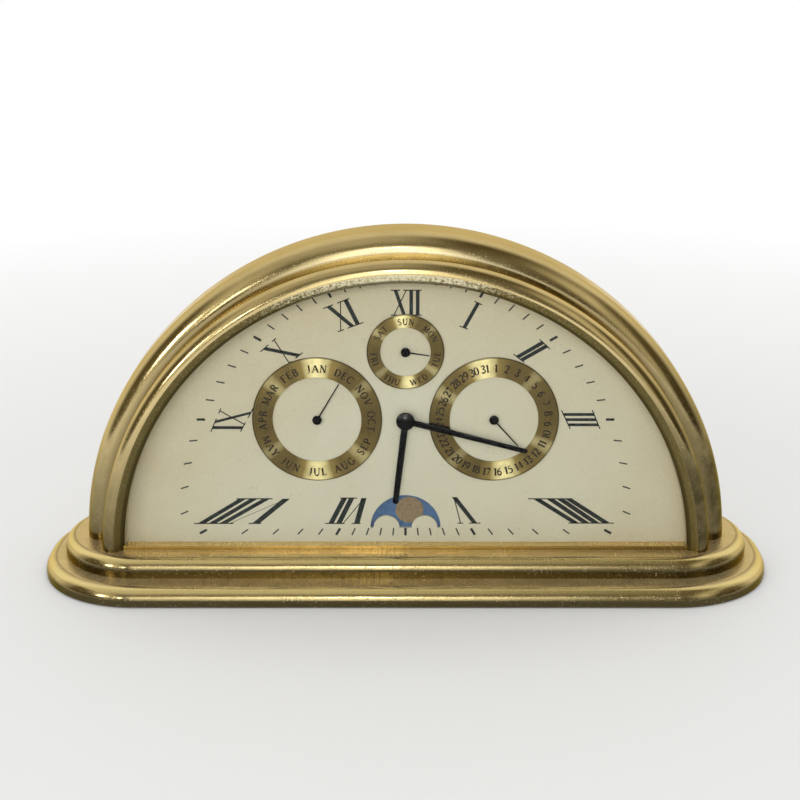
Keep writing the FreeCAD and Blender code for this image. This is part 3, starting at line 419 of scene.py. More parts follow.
def makePolishedBrass(name, look, zones, curved=False):
    # curved follows the arch, otherwise the marks run along the plinth
    material, tree, shader = newMaterial(name)
    place = coordinates(tree)
    vector = archCoordinates(tree)[0] if curved else place
    marks = placeGroup(tree, polishMarks, Vector=vector, Streaks=look["streaks"],
                       Sparkle=look["sparkle"])
    metal = placeGroup(tree, tarnish, Vector=place, Clean=look["clean"], Dull=look["dull"],
                       Clouds=look["clouds"], Specks=look["specks"])
    touched = placeGroup(tree, handling, Vector=vector, Scratches=0.5, Haze=look["haze"])
    color = addMix(tree, times(tree, marks["Mask"], 0.6), metal["Color"], look["dull"])
    # painted shade in bands by height
    color = addMix(tree, addGrime(tree, zones, look["lean"]), color, look["paintedShade"])
    up = facingUp(tree)
    if look["wallShade"]:  # upright faces of the plinth get painted dark reflection
        color = addMix(tree, addRange(tree, up, 0.14, 0.48, look["wallShade"], 0.0), color,
                       look["paintedShade"])
        # a painted highlight along the rounded shoulders
        shoulder = times(tree, addRange(tree, up, 0.60, 0.72), addRange(tree, up, 0.95, 0.88))
        color = addMix(tree, times(tree, shoulder, 0.9), color, look["paintedHighlight"])
    if look["crease"]:  # painted shade in the crease where the bezel meets the arch, dark down the sides and a paler painted tone at the top
        around, through, outward = addSplit(tree, vector)
        outside = addZone(tree, outward, look["creaseOut"], look["crease"], 0.0)
        behind = addMath(tree, "GREATER_THAN", through, look["creaseFront"] * mm)
        away = addZone(tree, addMath(tree, "ABSOLUTE", around), look["creaseTop"])
        color = addMix(tree, times(tree, outside, behind), color,
                       addMix(tree, away, look["worn"], look["creaseShade"]))
    # painted glints
    color = addMix(tree, marks["Bright"], color, look["paintedGlint"])
    dusty = placeGroup(tree, dust, Vector=place, Color=color, Amount=look["dust"])
    wear = plus(tree, touched["Mask"], metal["Mask"])
    wear = plus(tree, wear, times(tree, marks["Mask"], 0.5), clamp=True)
    wear = plus(tree, wear, addRange(tree, up, 0.985, 1.0, 0.0, 0.55), clamp=True)
    height = plus(tree, touched["Height"], marks["Height"])
    setSockets(tree, shader, {
        "Base Color": dusty["Color"],
        "Roughness": addRange(tree, wear, 0.0, 1.0, *look["roughness"]),
        "Metallic": minus(tree, 1.0, dusty["Mask"]),
        "Specular Tint": look["edge"],
        "Normal": addBump(tree, height, look["bump"], 0.12)})
    return material


slopeLook = {
    # painted dark reflection, in two tones
    "dark": ((0.20, 0.165, 0.065), (0.38, 0.31, 0.125)),
    # painted pale highlight, in two tones
    "pale": ((0.92, 0.82, 0.50), (1.0, 0.95, 0.72)),
    "paintedGlint": (0.95, 0.88, 0.62),
    # painted shade at the inner lip
    "lipShade": (0.09, 0.075, 0.03),
    # how fast the painted highlight falls off to both sides and towards one side
    "lean": (0.2, 0.1),
    "grainFades": (45.0, 80.0),
    "paintedHighlightFrom": (70.0, 90.0),
    "lip": (78.8, 79.3),
    "roughness": (0.52, 0.30),
    "metallic": (1.0, 0.4),
}


def makeGrainedBrass(name, look):
    # the inner slope of the bezel keeps a blasted grain, with a painted pale highlight near the top
    # of the arch and painted dark reflection down the sides
    material, tree, shader = newMaterial(name)
    vector, height = archCoordinates(tree)
    split = addSplit(tree, vector)
    around, outward = split["X"], split["Z"]
    bothSides, oneSide = look["lean"]
    aside = times(tree, addMath(tree, "ABSOLUTE", around), bothSides)
    aside = plus(tree, aside, times(tree, around, oneSide))
    height = minus(tree, height, aside)
    # the grain is worn smooth down the sides, and its painted glints fade with it
    rough = addZone(tree, height, look["grainFades"], 0.2, 1.0)
    grain = addNoise(tree, vector, 2200.0, 2.0, 0.6)
    coarse = addRange(tree, addNoise(tree, vector, 1500.0, 3.0, 0.6), 0.36, 0.66)
    coarse = times(tree, coarse, rough)
    paintedHighlight = addZone(tree, height, look["paintedHighlightFrom"])
    paintedHighlight = plus(tree, paintedHighlight, times(tree, minus(tree, coarse, 0.5), 0.8))
    paintedHighlight = addRange(tree, paintedHighlight, 0.2, 0.75)
    # painted dark reflection down the sides, painted pale highlight towards the top
    color = addMix(tree, paintedHighlight, addMix(tree, coarse, *look["dark"]),
                   addMix(tree, coarse, *look["pale"]))
    paintedGlint = times(tree, addRange(tree, grain, 0.60, 0.70), rough)
    color = addMix(tree, paintedGlint, color, look["paintedGlint"])
    lip = addZone(tree, outward, look["lip"], 0.85, 0.0)  # painted shade at the inner lip
    setSockets(tree, shader, {
        "Base Color": addMix(tree, lip, color, look["lipShade"]),
        "Metallic": addRange(tree, paintedHighlight, 0.0, 1.0, *look["metallic"]),
        "Specular Tint": brassLook["edge"],
        "Roughness": addRange(tree, grain, 0.3, 0.7, *look["roughness"]),
        "Normal": addBump(tree, times(tree, grain, rough), 0.5, 0.15)})
    return material


ringLook = {
    "dark": (0.115, 0.081, 0.029),
    "light": (0.200, 0.142, 0.052),
    "paintedSectorGlow": (0.56, 0.40, 0.13),
    "paintedGlint": (0.93, 0.81, 0.42),
    "cloud": (0.20, 0.15, 0.06),
    "rim": (0.045, 0.032, 0.014),
    "rimLine": (0.45, 0.15),
    # a painted highlight sector is its turn in radians, how narrow it is and how strong
    "paintedSectors": ((0.0, 0.965, 0.9), (0.87, 0.99, 0.4), (-0.95, 0.992, 0.3)),
}


def makeRingBrass(name, centre, lean, radius, look=ringLook):
    # circular brushing about the middle of the ring, painted highlight sectors, and a dark line at
    # its rim
    material, tree, shader = newMaterial(name)
    vector = addMapping(tree, coordinates(tree), Location=(-centre[0] * mm, 0.0, -centre[1] * mm))
    split = addSplit(tree, vector)
    across, above = split["X"], split["Z"]
    radial = addJoin(tree, X=across, Z=above)
    distance = addLength(tree, radial)
    angle = addMath(tree, "ARCTAN2", across, above)
    polar = addJoin(tree, X=distance, Y=times(tree, angle, 0.4 * mm))
    grooves = addNoise(tree, polar, 9000.0, 2.0, 0.6)
    cloud = addNoise(tree, vector, 500.0, 3.0, 0.6)
    color = addMix(tree, addRange(tree, grooves, 0.35, 0.65), look["dark"], look["light"])
    # painted highlight sectors, each with a painted glow round it
    for turn, narrow, strength in look["paintedSectors"]:
        turned = plus(tree, angle, lean + turn)
        sector = addMath(tree, "ABSOLUTE", addMath(tree, "COSINE", turned))
        paintedSectorGlow = addRange(tree, sector, narrow - 0.09, narrow + 0.01, 0.0, strength * 0.4)
        color = addMix(tree, paintedSectorGlow, color, look["paintedSectorGlow"])
        color = addMix(tree, addRange(tree, sector, narrow, 1.0, 0.0, strength), color,
                       look["paintedGlint"])
    color = addMix(tree, addRange(tree, cloud, 0.45, 0.7, 0.0, 0.3), color, look["cloud"])
    start, full = look["rimLine"]
    rim = addRange(tree, distance, radius - start * mm, radius - full * mm, 0.0, 0.8)
    setSockets(tree, shader, {
        "Base Color": addMix(tree, rim, color, look["rim"]),
        "Metallic": 1.0,
        "Roughness": addRange(tree, cloud, 0.3, 0.7, 0.30, 0.40),
        "Anisotropic": 0.85,
        "Tangent": addNode(tree, "VectorMath", "Vector", {0: radial}, operation="NORMALIZE"),
        "Normal": addBump(tree, grooves, 0.25, 0.03)})
    return material


def makeDialPaint(name, base, warm):
    # silvered cream lacquer: fine grain, a warmer rim and a few age specks
    material, tree, shader = newMaterial(name)
    vector = coordinates(tree)
    grain = addNoise(tree, vector, 2600.0, 2.0, 0.6)
    clouds = addRange(tree, addNoise(tree, vector, 26.0, 4.0, 0.6), 0.38, 0.68)
    centred = addMapping(tree, coordinates(tree), Scale=(12.2, 1.0, 12.4),
                         Location=(0.0, 0.0, -0.1))
    rim = addRange(tree, addLength(tree, centred), 0.55, 1.0, 0.0, 0.75)
    color = addMix(tree, plus(tree, times(tree, clouds, 0.35), rim, clamp=True), base, warm)
    specks = addRange(tree, addNoise(tree, vector, 1500.0, 1.0, 0.4), 0.74, 0.80, 0.0, 0.5)
    color = addMix(tree, specks, color, (0.22, 0.17, 0.09))
    color = addMix(tree, addRange(tree, grain, 0.3, 0.7, 0.0, 0.18), color, (0.80, 0.76, 0.62))
    setSockets(tree, shader, {
        "Base Color": color,
        "Roughness": addRange(tree, grain, 0.3, 0.7, 0.42, 0.58),
        "Specular IOR Level": 0.35,
        "Normal": addBump(tree, grain, 0.08, 0.04)})
    return material


def brightened(color, gain, lift):
    return tuple(min(1.0, part * gain + lift) for part in color)


def makeLacquer(name, color, roughness, coat, upward=False):
    # enamel or ink with slight orange peel and haze; upward keeps the shine to what looks up
    material, tree, shader = newMaterial(name)
    vector = coordinates(tree)
    touched = placeGroup(tree, handling, Vector=vector, Scratches=0.3, Haze=0.5)
    mottle = addRange(tree, addNoise(tree, vector, 800.0, 3.0, 0.6), 0.4, 0.75)
    setSockets(tree, shader, {
        "Base Color": addMix(tree, mottle, color, brightened(color, 2.3, 0.001)),
        "Roughness": addRange(tree, touched["Mask"], 0.0, 1.0, roughness, roughness + 0.2),
        "Specular IOR Level": 0.05 if upward else 0.2,
        "Coat Weight": addRange(tree, facingUp(tree), 0.08, 0.30, 0.0, coat) if upward else coat,
        "Coat Roughness": 0.08,
        "Normal": addBump(tree, touched["Height"], 0.1, 0.05)})
    return material


def makeMoonPaint(name, first, second, scale):
    material, tree, shader = newMaterial(name)
    vector = coordinates(tree)
    brushwork = addNoise(tree, vector, scale, 4.0, 0.65, 1.2)
    fine = addNoise(tree, vector, scale * 6, 2.0, 0.5)
    color = addMix(tree, addRange(tree, brushwork, 0.35, 0.68), first, second)
    color = addMix(tree, addRange(tree, fine, 0.55, 0.8, 0.0, 0.45), color,
                   brightened(second, 1.5, 0.05))
    setSockets(tree, shader, {
        "Base Color": color,
        "Roughness": addRange(tree, fine, 0.3, 0.7, 0.38, 0.55),
        "Normal": addBump(tree, fine, 0.1, 0.04)})
    return material


def mixShaders(tree, factor, first, second):
    mix = tree.nodes.new("ShaderNodeMixShader")
    for index, value in enumerate((factor, first, second)):
        tree.links.new(value, mix.inputs[index])
    tree.links.new(mix.outputs["Shader"], tree.nodes["Material Output"].inputs["Surface"])


def makeGlass(name):
    # clear mineral glass; lamps pass through it so that the dial is lit
    material, tree, shader = newMaterial(name)
    smear = addNoise(tree, coordinates(tree), 45.0, 4.0, 0.65, 0.8)
    setSockets(tree, shader, {
        "Base Color": (0.97, 0.985, 0.97),
        "Transmission Weight": 1.0,
        "IOR": 1.15,
        "Roughness": addRange(tree, smear, 0.55, 0.8, 0.0, 0.05)})
    clear = tree.nodes.new("ShaderNodeBsdfTransparent")
    path = tree.nodes.new("ShaderNodeLightPath")
    mixShaders(tree, path.outputs["Is Shadow Ray"], shader.outputs["BSDF"], clear.outputs["BSDF"])
    return material


brushedTurns = {"x": (0.0, 0.0, 0.0), "y": (0.0, 0.0, math.pi / 2), "z": (0.0, math.pi / 2, 0.0)}


def makeBrushedMetal(name, light, dark, axis, fineness, roughness=(0.25, 0.42), bump=0.2):
    material, tree, shader = newMaterial(name)
    place = coordinates(tree)
    grain = placeGroup(tree, brushing, Fineness=fineness,
                       Vector=addMapping(tree, place, Rotation=brushedTurns[axis]))
    worn = placeGroup(tree, tarnish, Vector=place, Clean=light, Dull=dark, Clouds=0.35, Specks=0.6)
    setSockets(tree, shader, {
        "Base Color": addMix(tree, times(tree, grain["Mask"], 0.3), worn["Color"], dark),
        "Metallic": 1.0,
        "Roughness": addRange(tree, grain["Mask"], 0.0, 1.0, *roughness),
        "Normal": addBump(tree, grain["Height"], bump, 0.05)})
    return material


def makeFelt(name):
    material, tree, shader = newMaterial(name)
    combed = addMapping(tree, coordinates(tree), Scale=(1.0, 0.35, 1.0))
    fibres = addNoise(tree, combed, 2400.0, 4.0, 0.7, 1.5)
    tufts = addNoise(tree, coordinates(tree), 320.0, 3.0, 0.6)
    color = addMix(tree, addRange(tree, fibres, 0.35, 0.65), (0.012, 0.030, 0.020),
                   (0.045, 0.085, 0.060))
    color = addMix(tree, addRange(tree, tufts, 0.5, 0.75, 0.0, 0.5), color, (0.06, 0.10, 0.08))
    setSockets(tree, shader, {
        "Base Color": color,
        "Roughness": 0.95,
        "Sheen Weight": 0.5,
        "Sheen Roughness": 0.4,
        "Normal": addBump(tree, fibres, 0.6, 0.2)})
    return material


def makePlastic(name, color, roughness=0.5, grainScale=1400.0):
    # moulded plastic with a fine spark-eroded grain
    material, tree, shader = newMaterial(name)
    vector = coordinates(tree)
    grain = addNoise(tree, vector, grainScale, 2.0, 0.5)
    mottled = addMix(tree, addRange(tree, grain, 0.3, 0.7), color, brightened(color, 1.6, 0.01))
    settled = placeGroup(tree, dust, Vector=vector, Amount=0.35, Color=mottled)
    setSockets(tree, shader, {
        "Base Color": settled["Color"],
        "Roughness": addRange(tree, grain, 0.3, 0.7, roughness - 0.08, roughness + 0.1),
        "Normal": addBump(tree, grain, 0.3, 0.06)})
    return material


def makeWoundWire(name):
    material, tree, shader = newMaterial(name)
    turns = addNode(tree, "TexWave", "Fac", {"Vector": coordinates(tree), "Scale": 1600.0,
                                             "Distortion": 0.6})
    setSockets(tree, shader, {
        "Base Color": addMix(tree, turns, (0.28, 0.09, 0.03), (0.70, 0.30, 0.12)),
        "Metallic": 1.0,
        "Roughness": addRange(tree, turns, 0.0, 1.0, 0.45, 0.22),
        "Normal": addBump(tree, turns, 0.5, 0.1)})
    return material


polishedBrass = makePolishedBrass("polishedBrass", plinthLook, plinthShadeBands)
archBrass = makePolishedBrass("archBrass", brassLook, archShadeBands, curved=True)
sillBrass = makePolishedBrass("sillBrass", sillLook, sillShadeBands)
grainedBrass = makeGrainedBrass("grainedBrass", slopeLook)
dialPaint = makeDialPaint("dialPaint", (0.565, 0.535, 0.405), (0.50, 0.42, 0.26))
revealPaint = makeDialPaint("revealPaint", (0.56, 0.52, 0.38), (0.46, 0.38, 0.22))
dialInk = makeLacquer("dialInk", (0.013, 0.016, 0.015), 0.45, 0.0)
labelInk = makeLacquer("labelInk", (0.020, 0.014, 0.007), 0.5, 0.0)
handLacquer = makeLacquer("handLacquer", (0.002, 0.002, 0.002), 0.12, 1.0, upward=True)
moonBlue = makeMoonPaint("moonBlue", (0.038, 0.090, 0.205), (0.075, 0.150, 0.290), 700.0)
moonGold = makeMoonPaint("moonGold", (0.162, 0.111, 0.055), (0.281, 0.208, 0.111), 900.0)
paneGlass = makeGlass("paneGlass")
screwSteel = makeBrushedMetal("screwSteel", (0.56, 0.57, 0.58), (0.30, 0.30, 0.31), "x", 1400.0)
springWire = makeBrushedMetal("springWire", (0.50, 0.51, 0.53), (0.22, 0.22, 0.23), "y", 1200.0)
worksBrass = makeBrushedMetal("worksBrass", (0.74, 0.58, 0.27), (0.45, 0.32, 0.13), "z", 1100.0)
coverBrass = makeBrushedMetal("coverBrass", (0.76, 0.60, 0.30), (0.46, 0.33, 0.14), "x", 1000.0,
                              (0.22, 0.38), 0.12)
doorBrass = makeBrushedMetal("doorBrass", (0.70, 0.55, 0.27), (0.40, 0.29, 0.12), "z", 1000.0,
                             (0.24, 0.40), 0.12)
blackPlastic = makePlastic("blackPlastic", (0.022, 0.022, 0.024))
boardGreen = makePlastic("boardGreen", (0.02, 0.13, 0.055), 0.32, 500.0)
cellSleeve = makePlastic("cellSleeve", (0.055, 0.06, 0.075), 0.3, 300.0)
copperWire = makeWoundWire("copperWire")
baizeGreen = makeFelt("baizeGreen")
print("materials made")


def dress(material, *nodeNames):
    for nodeName in nodeNames:
        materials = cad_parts[nodeName].data.materials
        materials.clear()
        materials.append(material)


dress(baizeGreen, "felt_pad")
dress(paneGlass, "front_glass")
dress(dialPaint, "dial_plate")
dress(revealPaint, "reveal_ring")
dress(moonBlue, "moon_disc")
dress(screwSteel, "case_screws", "plate_screws", "movement_screws", "cover_screws",
      "battery_contacts", "hinge_pin")
dress(worksBrass, "cannon_pinion", "hour_wheel", "minute_wheel", "set_pinion", "month_star",
      "date_star", "day_star", "calendar_plate", "cover_pillars", "dial_feet", "month_pusher",
      "date_pusher", "day_pusher", "moon_pusher")
dress(coverBrass, "rear_cover")
dress(doorBrass, "battery_door")
dress(polishedBrass, "set_knob")
dress(blackPlastic, "movement_case", "movement_lid")
dress(boardGreen, "circuit_board")
dress(copperWire, "drive_coil")
dress(cellSleeve, "battery_cell")
for ringName, lean in (("month", 0.0), ("date", 0.21), ("day", 0.1)):
    low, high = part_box(ringName + "_ring")
    brass = makeRingBrass(ringName + "RingBrass", ringCentres[ringName], lean,
                          (high[0] - low[0]) / 2)
    dress(brass, ringName + "_ring")
print("frame dressed")


plinth = {
    "lower": {"length": 205.0, "depth": 62.0, "endRadius": 29.0, "edge": 3.7, "bottom": 0.3,
              "top": 5.1},
    "upper": {"length": 194.2, "depth": 46.0, "endRadius": 22.8, "edge": 3.3, "bottom": 5.1,
              "top": 10.3},
    "endSteps": 36,
    "edgeSteps": 12,
    "padMargin": 6.8,
    "padDepth": 0.7,
    "well": ((-11.1, -10.1, 4.0), (11.1, -4.7, 11.0)),
}


def roundedPlate(sizes):
    bm = bmesh.new()
    halfLength, halfDepth = sizes["length"] / 2 * mm, sizes["depth"] / 2 * mm
    verts = [bm.verts.new((x * halfLength, y * halfDepth, sizes["bottom"] * mm))
             for x, y in ((-1, -1), (1, -1), (1, 1), (-1, 1))]
    bm.faces.new(verts)
    for vert in verts:
        bevel(bm, [vert], sizes["endRadius"], plinth["endSteps"], "VERTICES")
    extrude(bm, bm.faces[:], z=(sizes["top"] - sizes["bottom"]) * mm)
    bevel(bm, partsAt(bm.edges, 2, sizes["top"] * mm), sizes["edge"], plinth["edgeSteps"])
    return bm


# the felt pad lies in a shallow recess under the lower plate
lowerPlate = roundedPlate(plinth["lower"])
under = partsAt(lowerPlate.faces, 2, plinth["lower"]["bottom"] * mm)
bmesh.ops.recalc_face_normals(lowerPlate, faces=lowerPlate.faces)
bmesh.ops.inset_region(lowerPlate, faces=under, thickness=plinth["padMargin"] * mm, depth=0.0)
extrude(lowerPlate, under, z=plinth["padDepth"] * mm, keep=False)
plinthLower = newPiece("plinthLower", lowerPlate, polishedBrass, replaced=("plinth_lower",),
                       evenNormals=True)
plinthUpper = newPiece("plinthUpper", roundedPlate(plinth["upper"]), polishedBrass,
                       replaced=("plinth_upper",), evenNormals=True)
for plate in (plinthLower, plinthUpper):
    carve(plate, *plinth["well"])
print("plinth built")


archShape = {
    "foot": 10.3,
    "steps": 192,
    "halfTurn": 96,
    "edgeSteps": 12,
    # a corner is its depth, its radius and how far it is rounded
    "arch": [(-9.0, 90.1, 5.6), (9.0, 90.1, 5.6), (9.0, 80.5, 0), (-2.1, 80.5, 0),
             (-2.1, 75.5, 0), (-5.1, 75.5, 0), (-5.1, 80.5, 0), (-9.0, 80.5, 0)],
    "bezel": [(-9.0, 84.3, 0), (-17.3, 84.3, 3.4), (-17.3, 80.7, 0.5), (-15.5, 78.1, 0.3),
              (-15.1, 78.1, 0), (-15.1, 79.5, 0), (-9.0, 79.5, 0)],
    "sill": ((-78.8, -15.5, 10.3), (78.8, -10.1, 10.8)),
    "sillLip": ((-78.6, -15.5, 10.7), (78.6, -15.12, 11.5)),
    "sillTop": 11.55,
    "sillEnd": 77.5,
    "grainFront": 15.3,
    "grainOuter": 80.8,
}


def turnedArch(corners, mirror=False):
    bm = bmesh.new()
    centre = archAxis * mm
    verts = [bm.verts.new((0, corner[0] * mm, centre + corner[1] * mm)) for corner in corners]
    bm.faces.new(verts)
    for vert, corner in zip(verts, corners):
        if corner[2]:
            bevel(bm, [vert], corner[2], archShape["edgeSteps"], "VERTICES")
    if mirror:
        bmesh.ops.scale(bm, vec=(1, -1, 1), verts=bm.verts)
    half = math.radians(archShape["halfTurn"])
    pivot = Vector((0, 0, centre))
    bmesh.ops.rotate(bm, cent=pivot, matrix=Matrix.Rotation(-half, 3, "Y"), verts=bm.verts)
    bmesh.ops.spin(bm, geom=bm.verts[:] + bm.edges[:] + bm.faces[:], cent=pivot, axis=(0, 1, 0),
                   angle=half * 2, steps=archShape["steps"], use_merge=False, use_duplicate=False)
    bmesh.ops.remove_doubles(bm, verts=bm.verts, dist=tiny)
    bmesh.ops.recalc_face_normals(bm, faces=bm.faces)
    cut = bmesh.ops.bisect_plane(bm, geom=bm.verts[:] + bm.edges[:] + bm.faces[:], dist=tiny,
                                 plane_co=(0, 0, archShape["foot"] * mm), plane_no=(0, 0, 1),
                                 clear_inner=True)
    edges = [e for e in cut["geom_cut"] if isinstance(e, bmesh.types.BMEdge)]
    bmesh.ops.holes_fill(bm, edges=edges, sides=0)
    return bm


newPiece("archBody", turnedArch(archShape["arch"]), archBrass, replaced=("case_arch",),
         evenNormals=True)
for name, mirror, node in (("frontBezel", False, "front_bezel"),
                           ("rearBezel", True, "rear_bezel")):
    ring = turnedArch(archShape["bezel"], mirror)
    low, high = archShape["sill"]
    if mirror:
        low, high = (low[0], -high[1], low[2]), (high[0], -low[1], high[2])
    addBox(ring, low, high)
    if not mirror:
        addBox(ring, *archShape["sillLip"])
    bezel = newPiece(name, ring, archBrass, replaced=(node,),
                     evenNormals=True)
    bezel.data.materials.append(grainedBrass)
    bezel.data.materials.append(sillBrass)
    for face in bezel.data.polygons:
        x, y, z = face.center / mm
        radius = math.hypot(x, z - archAxis)
        if z < archShape["sillTop"] and abs(x) < archShape["sillEnd"]:
            face.material_index = 2
        elif abs(y) > archShape["grainFront"] and radius < archShape["grainOuter"]:
            face.material_index = 1
print("arch and bezels built")


printing = {
    "front": -10.9,
    "film": 0.02,
    "rowDrop": 33.07,
    "rowMinutes": (20, 40),
    "rowSqueeze": 0.986,
    "rowTick": 1.15,
    "arc": (61.5, 66.3, -27.0, 1.95),
    "arcWithin": (20.0, 90.0),
    "arcHalvings": 40,
    "tickLength": 2.3,
    "thinTick": 0.38,
    "thickTick": 0.70,
    "hairline": 0.31,
}

# the outer and inner serif lines run between two points from the hands' centre; strokes and feet
# are shares of those lines, and a line with no feet of its own is one foot along its whole length
numerals = {
    "I": {"outer": ((18.3, 33.2), (20.4, 32.2)), "inner": ((14.4, 26.4), (16.7, 25.5)),
          "thick": [(0.49, 0.55)], "weight": 1.0},
    "II": {"outer": ((35.9, 22.7), (38.8, 20.0)), "inner": ((29.0, 18.6), (32.0, 16.2)),
           "thick": [(0.32, 0.36), (0.68, 0.72)], "weight": 1.12},
    "III": {"outer": ((50.8, 2.7), (53.1, -2.7)), "inner": ((42.4, 2.7), (45.0, -2.7)),
            "thick": [(0.23, 0.23), (0.505, 0.505), (0.78, 0.78)], "weight": 0.92},
    "IIII": {"outer": ((58.1, -30.5), (45.4, -30.5)), "inner": ((46.3, -23.2), (34.0, -23.2)),
             "thick": [(0.16, 0.09), (0.39, 0.28), (0.61, 0.51), (0.84, 0.81)], "weight": 2.1},
    "V": {"outer": ((20.9, -30.5), (14.5, -30.5)), "inner": ((14.2, -22.7), (12.6, -22.7)),
          "thick": [(0.25, 0.42)], "thin": [(0.87, 0.5)], "weight": 1.45,
          "outerFeet": [(0, 0.5), (0.75, 1)], "innerFeet": []},
    "VII": {"outer": ((-12.5, -30.6), (-22.5, -30.6)), "inner": ((-11.2, -23.0), (-18.1, -23.0)),
            "thick": [(0.11, 0.05), (0.61, 0.54), (0.83, 0.83)], "thin": [(0.49, 0.04)],
            "weight": 1.5, "outerFeet": [(0, 0.25), (0.45, 1)], "innerFeet": [(0.32, 1)]},
    "VIII": {"outer": ((-40.2, -30.6), (-59.0, -30.6)), "inner": ((-32.5, -23.2), (-46.9, -23.2)),
             "thick": [(0.084, 0.04), (0.57, 0.42), (0.73, 0.66), (0.89, 0.88)],
             "thin": [(0.47, 0.03)], "weight": 2.1, "outerFeet": [(0, 0.19), (0.41, 1)],
             "innerFeet": [(0.3, 1)]},
    "IX": {"outer": ((-53.2, -3.5), (-50.2, 3.2)), "inner": ((-45.1, -3.5), (-41.4, 3.3)),
           "thick": [(0.18, 0.17), (0.42, 0.8)], "thin": [(0.9, 0.31)], "weight": 0.95,
           "outerFeet": [(0, 0.56), (0.78, 1)], "innerFeet": [(0, 0.4), (0.58, 1)]},
    "X": {"outer": ((-39.0, 19.2), (-34.7, 23.0)), "inner": ((-31.5, 15.9), (-27.6, 19.0)),
          "thick": [(0.25, 0.74)], "thin": [(0.88, 0.05)], "weight": 1.2,
          "outerFeet": [(0, 0.52), (0.74, 1)], "innerFeet": [(-0.1, 0.2), (0.48, 1)]},
    "XI": {"outer": ((-21.9, 31.2), (-14.9, 34.0)), "inner": ((-18.1, 24.8), (-11.2, 27.4)),
           "thick": [(0.2, 0.57), (0.85, 0.78)], "thin": [(0.66, 0.11)], "weight": 1.15,
           "outerFeet": [(0, 0.38), (0.53, 1)], "innerFeet": [(0, 0.24), (0.37, 1)]},
    "XII": {"outer": ((-3.9, 36.2), (4.3, 36.2)), "inner": ((-3.9, 29.4), (4.3, 29.4)),
            "thick": [(0.15, 0.43), (0.66, 0.66), (0.87, 0.87)], "thin": [(0.5, 0.1)],
            "weight": 0.98, "outerFeet": [(0, 0.3), (0.4, 1)], "innerFeet": [(0, 0.2), (0.33, 1)]},
}


def dialPoint(x, z):
    return Vector(((dialCentre[0] + x) * mm, printing["front"] * mm, (dialCentre[1] + z) * mm))


def addFlat(bm, corners):
    bm.faces.new([bm.verts.new(dialPoint(*corner)) for corner in corners])


def along(line, share, shift=0.0):
    start, end = Vector(line[0]), Vector(line[1])
    return start.lerp(end, share) + (end - start).normalized() * shift


def addBar(bm, start, end, width):
    # straight bar with square ends
    start, end = Vector(start), Vector(end)
    side = (end - start).orthogonal().normalized() * width / 2
    addFlat(bm, (start - side, start + side, end + side, end - side))


def addNumeral(bm, form):
    outer, inner = form["outer"], form["inner"]
    for kind, half in (("thick", form["weight"] / 2), ("thin", printing["hairline"] / 2)):
        for outerShare, innerShare in form.get(kind, []):
            addFlat(bm, (along(outer, outerShare, -half), along(outer, outerShare, half),
                         along(inner, innerShare, half), along(inner, innerShare, -half)))
    for line, feet in ((outer, "outerFeet"), (inner, "innerFeet")):
        for first, last in form.get(feet, [(0, 1)]):
            addBar(bm, along(line, first), along(line, last), printing["hairline"])


def arcRadius(angle):
    # distance from the hands' centre to the minute track, found by halving
    halfWidth, halfHeight, drop, power = printing["arc"]
    low, high = printing["arcWithin"]
    for halving in range(printing["arcHalvings"]):
        middle = (low + high) / 2
        x, z = middle * math.sin(angle), middle * math.cos(angle) - drop
        if abs(x / halfWidth) ** power + abs(z / halfHeight) ** power < 1.0:
            low = middle
        else:
            high = middle
    return low


def finishPrint(name, bm, material, body="case"):
    extrude(bm, bm.faces[:], y=-printing["film"] * mm)
    newPiece(name, bm, material, body, sharpAngle=30)


# the marks follow the arch, and along the foot of the dial they stand in a straight row
minuteTrack = bmesh.new()
rowStart, rowEnd = printing["rowMinutes"]
for minute in range(60):
    angle = math.radians(minute * 6)
    direction = Vector((math.sin(angle), math.cos(angle)))
    half = printing["tickLength"] / 2
    if rowStart <= minute <= rowEnd:
        middle = direction * -printing["rowDrop"] / math.cos(angle)
        middle.x *= printing["rowSqueeze"]
        half = min(half, printing["rowTick"] / abs(math.cos(angle)))
    else:
        middle = direction * arcRadius(angle)
    width = printing["thickTick" if minute % 5 == 0 else "thinTick"]
    addBar(minuteTrack, middle - direction * half, middle + direction * half, width)
finishPrint("minuteTrack", minuteTrack, dialInk)

numeralPrint = bmesh.new()
for form in numerals.values():
    addNumeral(numeralPrint, form)
finishPrint("hourNumerals", numeralPrint, dialInk)
print("dial printed")


lettering = {
    "month": {"middle": 14.85, "drop": 0.3, "height": 1.95, "gap": 0.42, "turn": -30.0,
              "first": 0.5, "inward": range(4, 9),
              "words": "JAN FEB MAR APR MAY JUN JUL AUG SEP OCT NOV DEC".split()},
    "date": {"middle": 14.9, "drop": 0.2, "height": 2.05, "gap": 0.08, "turn": 360.0 / 31,
             "first": 1.0, "inward": range(8, 23), "words": [str(day) for day in range(1, 32)]},
    "day": {"middle": 8.6, "drop": 0.15, "height": 1.55, "gap": 0.32, "turn": 360.0 / 7,
            "first": 0.5, "inward": range(2, 6), "words": "SUN MON TUE WED THU FRI SAT".split()},
    "thick": 0.24,
    "thin": 0.125,
    "shoulder": 0.168,
    "serif": 0.14,
    "flat": 0.12,
    "curveSteps": 5,
    "depth": -11.21,
}

